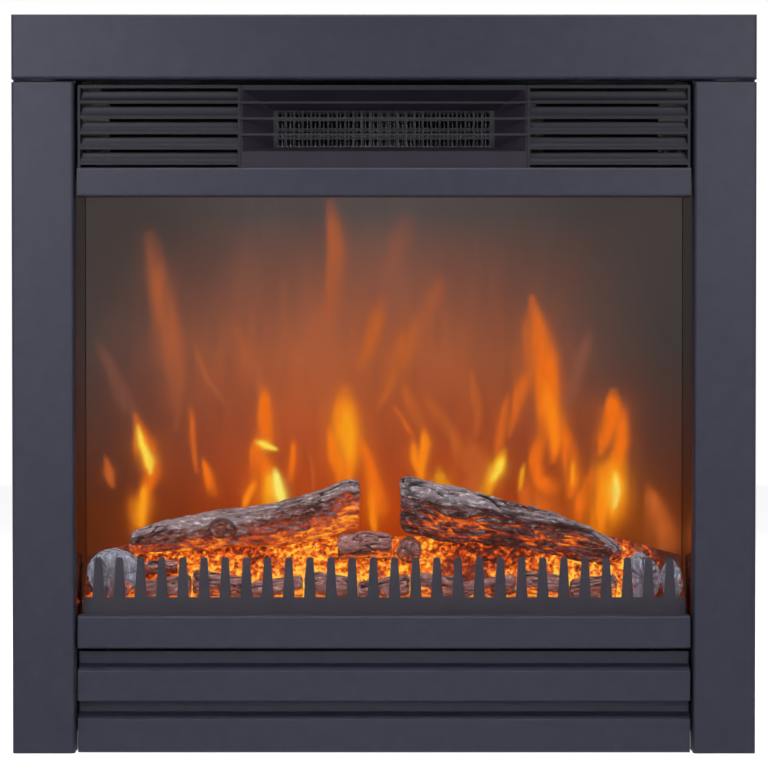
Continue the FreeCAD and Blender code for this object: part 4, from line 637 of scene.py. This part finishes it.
def makeLog(look, along, around):
    # rings along the log, pushed in and out by bark plates, cracks and knots; both ends closed
    t = np.linspace(0, 1, along)
    rows = through(look["stations"], t)
    runAt, acrossAt, upAt, halfDeep, halfTall = [column[:, None] for column in rows.T]
    angles = np.linspace(0, 2 * math.pi, around, endpoint=False)
    length = look["stations"][-1][0] - look["stations"][0][0]
    runShare, angle = np.meshgrid(t, angles, indexing="ij")
    mean = (halfDeep + halfTall) / 2
    lobe = 1 + barkLook["lobe"] * np.sin(look["lobes"] * angle + look["phase"] + runAt / barkLook["twist"])
    runMm = runShare * length
    arc = [np.cos(angle) * mean, np.sin(angle) * mean]

    def onBark(long, fine):
        return np.stack([runMm / long, arc[0] / fine, arc[1] / fine], -1)

    seat = onBark(*look["plate"])
    seat = seat + 0.35 * cloud(seat * 0.6 + 3, look["seed"], 2)[..., None]
    near, second, own = cells(seat, look["seed"] + 20)
    split = look.get("split", 0)   # how many of the plate edges open into cracks
    opened = smoothStep(cloud(seat * 0.45 + 9, look["seed"] + 5, 2), -0.5 - split, 0.5 - split)
    crack = (1 - smoothStep(second - near, *barkLook["crack"])) * opened
    rough = cloud(onBark(*barkLook["rough"]), look["seed"] + 40, 3)
    swell = cloud(onBark(*barkLook["swell"]), look["seed"] + 60, 2)
    plates = (own - 0.5) * 0.9 - crack * 0.9 + 0.45 * rough
    push = look["relief"] * plates + 1.2 * swell * look["relief"] / 1.6
    fromEnd = np.minimum(runShare, 1 - runShare) * length
    push = push * (0.25 + 0.75 * smoothStep(fromEnd, 0, barkLook["endFade"]))
    across = acrossAt + np.cos(angle) * (halfDeep * lobe + push)
    up = upAt + np.sin(angle) * (halfTall * lobe + push)
    run = np.broadcast_to(runAt, across.shape).copy()
    run += look["relief"] * 0.8 * rough * (1 - smoothStep(fromEnd, 0, barkLook["endRough"]))
    x, depth = (run, across) if look["way"] == "x" else (across, run)
    z = bed["shelf"] + up
    knot = np.zeros_like(x)
    for knotX, knotZ, knotSize in look.get("knots", []):
        # a sawn branch: a raised ring with a dished face, on the viewer's side
        off = np.hypot(x - knotX, (z - knotZ) * 1.25) / knotSize
        facing = smoothStep(-np.cos(angle), 0.2, 0.6)
        rim = np.exp(-((off - 1) / 0.18) ** 2) * facing
        face = (1 - smoothStep(off, 0.75, 0.98)) * facing
        depth = depth - barkLook["knotRim"] * rim - barkLook["knotFace"] * face + face * (push * 0.8)
        knot = np.maximum(knot, face)
        crack = np.maximum(crack * (1 - face), 0.85 * rim)
    # ash lies on what faces up, heat shows below it and in the cracks
    facingUp = np.sin(angle) * 0.9 - np.cos(angle) * 0.12
    torn = facingUp + (0.45 * swell + 0.25 * rough + 0.3 * (own - 0.5))
    ash = smoothStep(torn, look["ashFrom"], look["ashFrom"] + barkLook["ashEdge"])
    heat = look["heat"] * (1 - smoothStep(torn, look["heatTo"] - barkLook["heatEdge"], look["heatTo"]))
    heat = heat + look["crackHeat"] * crack * (1 - smoothStep(facingUp, 0.2, 0.8))
    heat = heat - 0.3 * (own - 0.4) * look["heat"]
    for hotX, hotZ, hotReach, amount in look.get("hot", []):
        heat = heat + amount * np.exp(-((x - hotX) ** 2 + (z - hotZ) ** 2) / hotReach ** 2)
    heat = heat * (1 - knot) + 0.12 * knot
    ash = ash * (1 - knot) - 0.6 * knot
    points = np.stack([x, bed["front"] + depth, z], -1)
    ends = np.stack([points[0].mean(0), points[-1].mean(0)])
    faces = tubeFaces(along, around)
    if look["way"] == "y":
        faces = [tuple(reversed(f)) for f in faces]
    return {"points": np.concatenate([points.reshape(-1, 3), ends]) / 1000, "faces": faces,
            "ash": np.append(ash, [0.3, 0.3]),
            "emberHeat": np.append(np.clip(heat, 0, 1.2), look.get("endHeat", [0.2, 0.2])),
            "crack": np.append(np.clip(crack, 0, 1), [0.5, 0.5])}


def logPiece(name, parts, node, *materials, shade=None):
    # one object from one or more castings, each with its own material number in shade
    faces, start = [], 0
    for part in parts:
        faces += [tuple(i + start for i in f) for f in part["faces"]]
        start += len(part["points"])
    thing = meshObject(name, np.concatenate([part["points"] for part in parts]), faces, materials[0])
    for extra in materials[1:]:
        thing.data.materials.append(extra)
    if shade:
        numbers = np.repeat(shade, [len(part["faces"]) for part in parts])
        thing.data.polygons.foreach_set("material_index", numbers)
    for layer in ("ash", "emberHeat", "crack"):
        paint(thing, layer, np.concatenate([part[layer] for part in parts]))
    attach(thing, "firebox")
    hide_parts(node)
    print(name, len(thing.data.polygons), "faces")


# stations: x, depth behind the bed front, height over the shelf, half depth, half height
leftLog = {
    "stations": [(-211, 40, 47.5, 6, 7), (-207, 40, 48, 9, 10), (-180, 41, 53.5, 12.5, 13.5),
                 (-133, 42, 58, 14.5, 16.5), (-91, 42, 62.5, 16, 18.5), (-50, 42, 72, 16.5, 20.5),
                 (-30, 42, 80, 17, 21), (-21, 42, 80, 16.5, 20)],
    "way": "x", "lobes": 3, "phase": 0.4, "plate": (26, 4.5), "relief": 1.3, "seed": 11, "split": 0.2,
    "ashFrom": 0.1, "heat": 0.5, "heatTo": 0.1, "crackHeat": 0.14,
    "knots": [(-134, 177, 10.5)],
    "hot": [(-29, 197, 11, 0.5), (-75, 163, 26, 0.2), (-150, 160, 30, 0.15), (-42, 172, 22, 0.35)],
    "endHeat": [0.0, 0.35],
}
rightLog = {
    "stations": [(14.5, 40, 80, 16, 20), (18, 40, 79.5, 17.5, 22), (47, 41, 71, 17.5, 22),
                 (87, 42, 65, 17, 21), (134, 42, 56, 16, 18.5), (171, 42, 47, 14, 15),
                 (190, 42, 40, 10, 9), (197, 42, 38, 6, 5)],
    "way": "x", "lobes": 3, "phase": 1.7, "plate": (36, 5.5), "relief": 2.4, "seed": 31, "split": 0.8,
    "ashFrom": 0.5, "heat": 0.1, "heatTo": 0.3, "crackHeat": 0.62,
    "hot": [(60, 175, 24, 0.15), (150, 160, 26, 0.2)],
    "endHeat": [0.35, 0.1],
}
middleLog = {
    "stations": [(-38, 37, 44, 8.5, 8.5), (-35, 37, 44.5, 10.5, 10.5), (-14, 37, 46, 11.3, 11.3),
                 (3, 37, 45, 10.5, 10.5), (6, 37, 45, 8.5, 8.5)],
    "way": "x", "lobes": 4, "phase": 2.3, "plate": (14, 4), "relief": 1.1, "seed": 51,
    "ashFrom": -0.35, "heat": 0.55, "heatTo": -0.2, "crackHeat": 0.2, "endHeat": [0.0, 0.2],
}
chunkLooks = [
    # way y points at the viewer: depth, x, height, half width, half height
    {"stations": [(0.5, -222, 23, 18, 18), (3, -222, 23, 20.5, 20.5), (28, -221, 24, 20, 20)],
     "way": "y", "lobes": 3, "phase": 0.2, "heat": 0.15, "ashFrom": -0.9},
    {"stations": [(0.5, 213, 20, 10, 17), (3, 213, 20, 12.5, 19.5), (38, 213, 20, 12, 19)],
     "way": "y", "lobes": 3, "phase": 1.2, "heat": 0.15, "ashFrom": -0.9},
    {"stations": [(1.5, 237, 16, 6, 15), (4, 237, 16, 8, 17.5), (36, 237, 16, 8, 17)],
     "way": "y", "lobes": 4, "phase": 0.9, "heat": 0.1, "ashFrom": -0.9},
    {"stations": [(17, 21, 41, 7, 7), (19, 21, 41, 9.5, 9.5), (52, 21, 41, 10, 10)],
     "way": "y", "lobes": 3, "phase": 2.1, "heat": 0.3, "ashFrom": -0.7},
    {"stations": [(-198, 30, 27, 4, 4), (-195, 30, 27.5, 5.5, 5.5), (-171, 30, 27.5, 5, 5)],
     "way": "x", "lobes": 3, "phase": 1.5, "heat": 0.3, "ashFrom": 0.2},
]
# the row along the shelf: middle, length, radius
chunkRow = [(-180, 42, 10.5), (-134, 46, 12), (-88, 42, 10), (-44, 42, 11.5), (0, 42, 10), (42, 40, 12),
            (86, 44, 10.5), (130, 40, 12), (172, 38, 10.5)]
for number, (middle, length, radius) in enumerate(chunkRow):
    lean = 2.5 * (-1) ** number
    half = length / 2
    ends = [(middle - half, 13, radius - lean, radius * 0.8, radius * 0.8),
            (middle - half * 0.9, 13, radius - lean, radius * 0.92, radius),
            (middle + half * 0.9, 14, radius + lean, radius * 0.92, radius),
            (middle + half, 14, radius + lean, radius * 0.8, radius * 0.8)]
    chunkLooks.append({"stations": ends, "way": "x", "lobes": 3 + number % 2, "phase": number * 0.8,
                       "heat": 0.7, "ashFrom": -0.3})
barkByWay = {"x": {"plate": (20, 3.4), "relief": 0.7}, "y": {"plate": (6, 3.6), "relief": 1.4}}
for number, look in enumerate(chunkLooks):
    look.update(barkByWay[look["way"]])
    look.update({"split": 0.3, "seed": 100 + 7 * number, "heatTo": 0.1, "crackHeat": 0.45,
                 "endHeat": [0.15, 0.15]})
# the logs at the far ends are cold
coldFrom = 200
cold = [int(look["way"] == "y" and abs(look["stations"][0][1]) > coldFrom) for look in chunkLooks]

logPiece("log_left_cast", [makeLog(leftLog, 300, 150)], "log_left", ashLog)
logPiece("log_right_cast", [makeLog(rightLog, 300, 150)], "log_right", charLog)
logPiece("log_middle_cast", [makeLog(middleLog, 90, 90)], "log_middle", branchCast)
logPiece("front_logs_cast", [makeLog(look, 60, 64) for look in chunkLooks], "front_logs", branchCast, coolLog,
         shade=cold)


def makeEmberBed():
    # the slope as a field of broken embers, closed down to the tray
    half = bed["half"]
    whole = bed["back"] - bed["front"]
    ridgeAt = whole - bed["ridgeDepth"]
    xSteps = np.linspace(-half, half, bed["columns"])
    depthSteps = np.concatenate([np.linspace(0, bed["shelfDepth"], bed["shelfRows"], endpoint=False),
                                 np.linspace(bed["shelfDepth"], ridgeAt, bed["slopeRows"], endpoint=False),
                                 np.linspace(ridgeAt, whole, bed["ridgeRows"])])
    gridDepth, gridX = np.meshgrid(depthSteps, xSteps, indexing="ij")
    level = np.zeros_like(gridX)
    outward = (np.abs(gridX) - half + bed["endRun"]) / bed["endRun"]
    fall = bed["ridge"] - bed["endDrop"] * np.clip(outward, 0, 1)
    height = np.minimum(bedHeight(gridDepth), fall)
    spot = np.stack([gridX / bed["emberMm"], gridDepth / bed["emberMm"], height / bed["emberTall"]], -1)
    near, second, own = cells(spot + 0.3 * cloud(spot, 3, 2)[..., None], 71)
    lump = 1 - smoothStep(near, 0.1, 0.75)
    crack = 1 - smoothStep(second - near, 0.02, 0.25)
    fromEdge = np.minimum(half - np.abs(gridX), np.minimum(gridDepth, whole - gridDepth))
    inside = smoothStep(fromEdge, 0, 3)
    heaps = cloud(np.stack([gridX / bed["heapMm"], gridDepth / bed["heapMm"], level], -1), 79, 3)
    heap = smoothStep(gridDepth, *bed["heapFrom"]) * (2.2 * heaps - 1.6)
    height = height + inside * (1.1 * lump * (0.4 + own) - 0.9 - 0.8 * crack + heap)
    points = np.stack([gridX, bed["front"] + gridDepth - inside * (own - 0.5), height], -1)
    points[0, :, 1] = bed["front"]
    points[-1, :, 1] = bed["back"]
    faces = gridFaces(gridX.shape)
    rim = closeBehind(gridX.shape, faces)
    flat = points.reshape(-1, 3)
    foot = flat[rim].copy()
    foot[:, 2] = bed["low"]
    # warm patches, cold ends, a hot hollow left of the middle and a bright line behind the shelf
    warm = 0.58 + 0.3 * cloud(np.stack([gridX / 38, gridDepth / 26, level], -1), 77, 2)
    warm = warm * (1 - smoothStep(np.abs(gridX) / half, 0.78, 0.97))
    warm = warm + 0.45 * np.exp(-((gridX + 55) / 34) ** 2 - ((gridDepth - 24) / 14) ** 2)
    warm = warm + 0.42 * (1 - smoothStep(gridDepth, 14, 28)) * smoothStep(gridDepth, 2, 8)
    heat = warm + 0.25 * crack - 0.22 * lump * own
    thing = meshObject("ember_bed_cast", np.concatenate([flat, foot]) / 1000, faces, emberSlope)
    low, high = bed["crumbBand"]
    layers = {"ash": 0.3 * own, "emberHeat": np.clip(heat, 0, 1.2), "crack": 0.4 * crack,
              "slope": ((gridDepth > low) & (gridDepth < high)).astype(float)}
    for layer, values in layers.items():
        paint(thing, layer, np.append(values, np.zeros(len(rim))))
    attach(thing, "firebox")
    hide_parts("ember_bed")
    print("ember bed", len(thing.data.polygons), "faces")
    return thing


emberBed = makeEmberBed()


def nodeTree(name, **inputs):
    # an empty tree with its named inputs
    tree = bpy.data.node_groups.new(name, "GeometryNodeTree")
    tree.interface.new_socket("Geometry", in_out="INPUT", socket_type="NodeSocketGeometry")
    for label, kind in inputs.items():
        tree.interface.new_socket(label, in_out="INPUT", socket_type="NodeSocket" + kind)
    tree.interface.new_socket("Geometry", in_out="OUTPUT", socket_type="NodeSocketGeometry")
    return tree, addNode(tree, "NodeGroupInput").outputs


def layPattern(tree, given, inputs):
    # sets the pattern on points, makes the copies real and gives them their material
    pattern = addNode(tree, "GeometryNodeObjectInfo", {"Object": given["Pattern"]}).outputs["Geometry"]
    laid = addNode(tree, "GeometryNodeInstanceOnPoints", {"Instance": pattern, **inputs})
    real = addNode(tree, "GeometryNodeRealizeInstances", {"Geometry": laid})
    done = addNode(tree, "GeometryNodeSetMaterial", {"Geometry": real, "Material": given["Material"]})
    addNode(tree, "NodeGroupOutput", {"Geometry": done})
    return tree


def grown(name, carrier, tree, values):
    # runs the tree on a carrier and keeps the result as a plain mesh; carrier and pattern go
    modifier = carrier.modifiers.new(name, "NODES")
    modifier.node_group = tree
    for socket in tree.interface.items_tree:
        if socket.in_out == "INPUT" and socket.name in values:
            modifier[socket.identifier] = values[socket.name]
    mesh = bpy.data.meshes.new_from_object(carrier.evaluated_get(bpy.context.evaluated_depsgraph_get()))
    mesh.name = name
    carrier.modifiers.remove(modifier)
    for thing in (carrier, values["Pattern"]):
        bpy.data.objects.remove(thing)
    thing = bpy.data.objects.new(name, mesh)
    scene.collection.objects.link(thing)
    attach(thing, "firebox")
    print(name, len(mesh.polygons), "faces")
    return thing


def ringMesh(name, rings, material):
    # closed flat-sided skin over rings, its ends capped by a point
    points = [p for ring in rings for p in ring] + [np.mean(rings[0], 0), np.mean(rings[-1], 0)]
    return meshObject(name, points, tubeFaces(len(rings), len(rings[0])), material, False)


# loose crumbs scattered over the slope; levels: height and width of a crumb's rings in radii
crumbs = {"perSquareMetre": 9000.0, "radius": 0.0019, "small": 0.55, "large": 1.5, "seed": 12, "corners": 5,
          "levels": [(0.85, 0.3), (0.45, 0.8), (-0.1, 1.0), (-0.75, 0.55)]}


def scatterTree():
    tree, given = nodeTree("scatter_crumbs", Pattern="Object", Density="Float", Small="Float", Large="Float",
                           Seed="Int", Material="Material")
    seed = given["Seed"]
    slope = addNode(tree, "GeometryNodeInputNamedAttribute", {"Name": "slope"}, data_type="FLOAT")
    density = addNode(tree, "ShaderNodeMath", {0: slope, 1: given["Density"]}, operation="MULTIPLY")
    spots = addNode(tree, "GeometryNodeDistributePointsOnFaces",
                    {"Mesh": given["Geometry"], "Density": density, "Seed": seed})
    heat = addNode(tree, "GeometryNodeInputNamedAttribute", {"Name": "emberHeat"}, data_type="FLOAT")
    # of a random value's sockets, 0 and 1 take vectors, 2 and 3 numbers; output 0 gives vectors, 1 numbers
    share = addNode(tree, "FunctionNodeRandomValue", {2: 0.55, 3: 1.1, "Seed": seed}, data_type="FLOAT")
    own = addNode(tree, "ShaderNodeMath", {0: heat, 1: share.outputs[1]}, operation="MULTIPLY")
    kept = addNode(tree, "GeometryNodeStoreNamedAttribute",
                   {"Geometry": spots, "Name": "emberHeat", "Value": own},
                   data_type="FLOAT", domain="POINT")
    turn = addNode(tree, "FunctionNodeRandomValue", {0: (0, 0, 0), 1: (6.28, 6.28, 6.28), "Seed": seed},
                   data_type="FLOAT_VECTOR")
    size = addNode(tree, "FunctionNodeRandomValue", {2: given["Small"], 3: given["Large"], "Seed": seed},
                   data_type="FLOAT")
    return layPattern(tree, given, {"Points": kept, "Rotation": turn.outputs[0], "Scale": size.outputs[1]})


def makeCrumbs():
    rings = []
    corners = crumbs["corners"]
    for level, (up, wide) in enumerate(crumbs["levels"]):
        angles = 2 * np.pi * (np.arange(corners) + 0.5 * level) / corners
        reach = crumbs["radius"] * wide * (1 + 0.25 * np.sin(angles * 2 + 1.7 * level))
        height = np.full(corners, -up * crumbs["radius"])
        rings.append(np.stack([np.cos(angles) * reach, np.sin(angles) * reach, height], -1))
    ground = bpy.data.objects.new("crumb_ground", emberBed.data.copy())
    scene.collection.objects.link(ground)
    values = {"Pattern": ringMesh("crumb", rings, emberSlope), "Density": crumbs["perSquareMetre"],
              "Small": crumbs["small"], "Large": crumbs["large"], "Seed": crumbs["seed"],
              "Material": emberSlope}
    thing = grown("ember_crumbs", ground, scatterTree(), values)


makeCrumbs()

# casing screws at the places of the construction: hexagon heads with a pressed flange, rolled thread, in mm
screws = {"flange": 3.45, "corner": 3.2, "tall": 2.2, "shank": 1.9, "root": 1.5, "pitch": 1.2, "long": 6.0,
          "sides": 12}


def screwTree():
    tree, given = nodeTree("set_screws", Pattern="Object", Scale="Float", Material="Material")
    spots = addNode(tree, "GeometryNodeMeshToPoints", {"Mesh": given["Geometry"]})
    return layPattern(tree, given, {"Points": spots, "Scale": given["Scale"]})


def screwSeats():
    # one place per solid of the CAD node, whose loose corners are joined by place
    # it is the middle in x and z, and under the head in y
    mesh = nodes["casing_screws"].data
    corners = [nodes["casing_screws"].matrix_world @ vertex.co for vertex in mesh.vertices]
    first = {}
    owner = [first.setdefault(tuple(round(v, 6) for v in corner), i) for i, corner in enumerate(corners)]

    def root(i):
        while owner[i] != i:
            i = owner[i]
        return i

    for edge in mesh.edges:
        owner[root(edge.vertices[0])] = root(edge.vertices[1])
    sets = {}
    for i, corner in enumerate(corners):
        sets.setdefault(root(i), []).append(tuple(corner))
    seats = [((np.min(s, 0) + np.max(s, 0)) / 2, np.max(s, 0)[1]) for s in map(np.array, sets.values())]
    print("screws:", len(seats))
    return [(middle[0], top - screws["tall"] / 1000, middle[2]) for middle, top in seats]


def makeScrews():
    sides, tall, pitch = screws["sides"], screws["tall"], screws["pitch"]
    angles = 2 * np.pi * np.arange(sides) / sides
    hexed = np.where(np.arange(sides) % 2 == 0, 1.0, math.cos(math.pi / 6)) * screws["corner"]
    flange, shank, core = [np.ones(sides) * screws[part] for part in ("flange", "shank", "root")]
    # places along the screw and the reach of each ring there, from the head down
    profile = [(tall, hexed * 0.55), (tall, hexed * 0.86), (tall * 0.86, hexed), (tall * 0.36, hexed),
               (tall * 0.3, flange), (0.0, flange), (0.0, shank)]
    for turn in range(1, int(screws["long"] / pitch)):
        profile += [(-pitch * (turn - 0.5), core), (-pitch * turn, shank)]
    profile += [(-screws["long"], core * 0.8)]
    rings = [np.stack([np.cos(angles) * reach, np.full(sides, along), np.sin(angles) * reach], -1) / 1000
             for along, reach in profile]
    seats = meshObject("screw_seats", screwSeats(), [], platedZinc)
    values = {"Pattern": ringMesh("screw", rings, platedZinc), "Scale": 1.0, "Material": platedZinc}
    thing = grown("hex_screws", seats, screwTree(), values)
    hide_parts("casing_screws")


makeScrews()


# stage, light and camera

stageLook = {"half": 4.0, "under": -0.0005, "floorGlow": 0.86, "ambient": 0.07}
# lamps: place, target, size and spread of the disk, watts
lamps = {
    "key": ((-0.7, -1.9, 1.0), (-0.52, -0.1, 0.48), 0.5, 38, 1.75),
    "fill": ((0.75, -1.9, 0.95), (0.52, -0.1, 0.48), 0.5, 38, 1.35),
    "low": ((0, -2.0, 0.5), (0, -0.1, 0.1), 0.6, 20, 0.15),
    "crown": ((0, -0.75, 2.3), (0, -0.12, 0.2), 0.7, 40, 2.0),
    "back": ((0.3, 2.2, 1.9), (0, 0, 0.3), 1.6, 120, 12),
}
cameraLook = {"place": (0, -2.503, 0.344), "target": (0, -0.103, 0.2954), "lens": 138.2, "sensor": 36}
white = (1, 1, 1, 1)


def seenRays(tree):
    # 1 for rays from the eye, also by way of bright metal or a pane
    path = addNode(tree, "ShaderNodeLightPath").outputs
    mirrored = addNode(tree, "ShaderNodeMath", {0: path["Is Camera Ray"], 1: path["Is Glossy Ray"]},
                       operation="ADD")
    return addNode(tree, "ShaderNodeMath", {0: mirrored, 1: path["Is Transmission Ray"]},
                   operation="ADD", use_clamp=True)


def makeFloor():
    # white paper, faintly clouded every 25 mm, that takes the shadow and meets the white background
    material, tree, place = blankMaterial("studio_paper")
    speck = addNode(tree, "ShaderNodeTexNoise", {"Vector": place, "Scale": 1000 / 25, "Detail": 2})
    colour = addNode(tree, "ShaderNodeValToRGB", {"Fac": speck}, [(0.2, "f2f2f2"), (0.8, "f6f6f6")])
    matt = addNode(tree, "ShaderNodeBsdfDiffuse", {"Color": colour})
    glow = addNode(tree, "ShaderNodeEmission", {"Color": white, "Strength": stageLook["floorGlow"]})
    both = addNode(tree, "ShaderNodeAddShader", {0: matt, 1: glow})
    mixed = addNode(tree, "ShaderNodeMixShader", {0: seenRays(tree), 1: matt, 2: both})
    addNode(tree, "ShaderNodeOutputMaterial", {"Surface": mixed})
    half, under = stageLook["half"], stageLook["under"]
    corners = [(-half, -half, under), (half, -half, under), (half, half, under), (-half, half, under)]
    meshObject("floor", corners, [(0, 1, 2, 3)], material, False)


def makeWorld():
    scene.world = bpy.data.worlds.new("studio")
    scene.world.use_nodes = True
    tree = scene.world.node_tree
    tree.nodes.clear()
    soft, bright = [addNode(tree, "ShaderNodeBackground", {"Color": white, "Strength": strength})
                    for strength in (stageLook["ambient"], 1.0)]
    mixed = addNode(tree, "ShaderNodeMixShader", {0: seenRays(tree), 1: soft, 2: bright})
    addNode(tree, "ShaderNodeOutputWorld", {"Surface": mixed})


def setUp(name, data, place, target):
    # a lamp or camera at a place, turned to its target
    thing = bpy.data.objects.new(name, data)
    scene.collection.objects.link(thing)
    thing.location = place
    thing.rotation_euler = (Vector(target) - Vector(place)).to_track_quat("-Z", "Y").to_euler()
    return thing


makeFloor()
makeWorld()
for name, (place, target, size, spreadAngle, watts) in lamps.items():
    lamp = bpy.data.lights.new(name, "AREA")
    lamp.shape = "DISK"
    lamp.size = size
    lamp.spread = math.radians(spreadAngle)
    lamp.energy = watts
    setUp(name, lamp, place, target)
lens = bpy.data.cameras.new("camera")
lens.lens = cameraLook["lens"]
lens.sensor_width = cameraLook["sensor"]
scene.camera = setUp("camera", lens, cameraLook["place"], cameraLook["target"])
scene.view_settings.view_transform = "Standard"
print("stage ready")
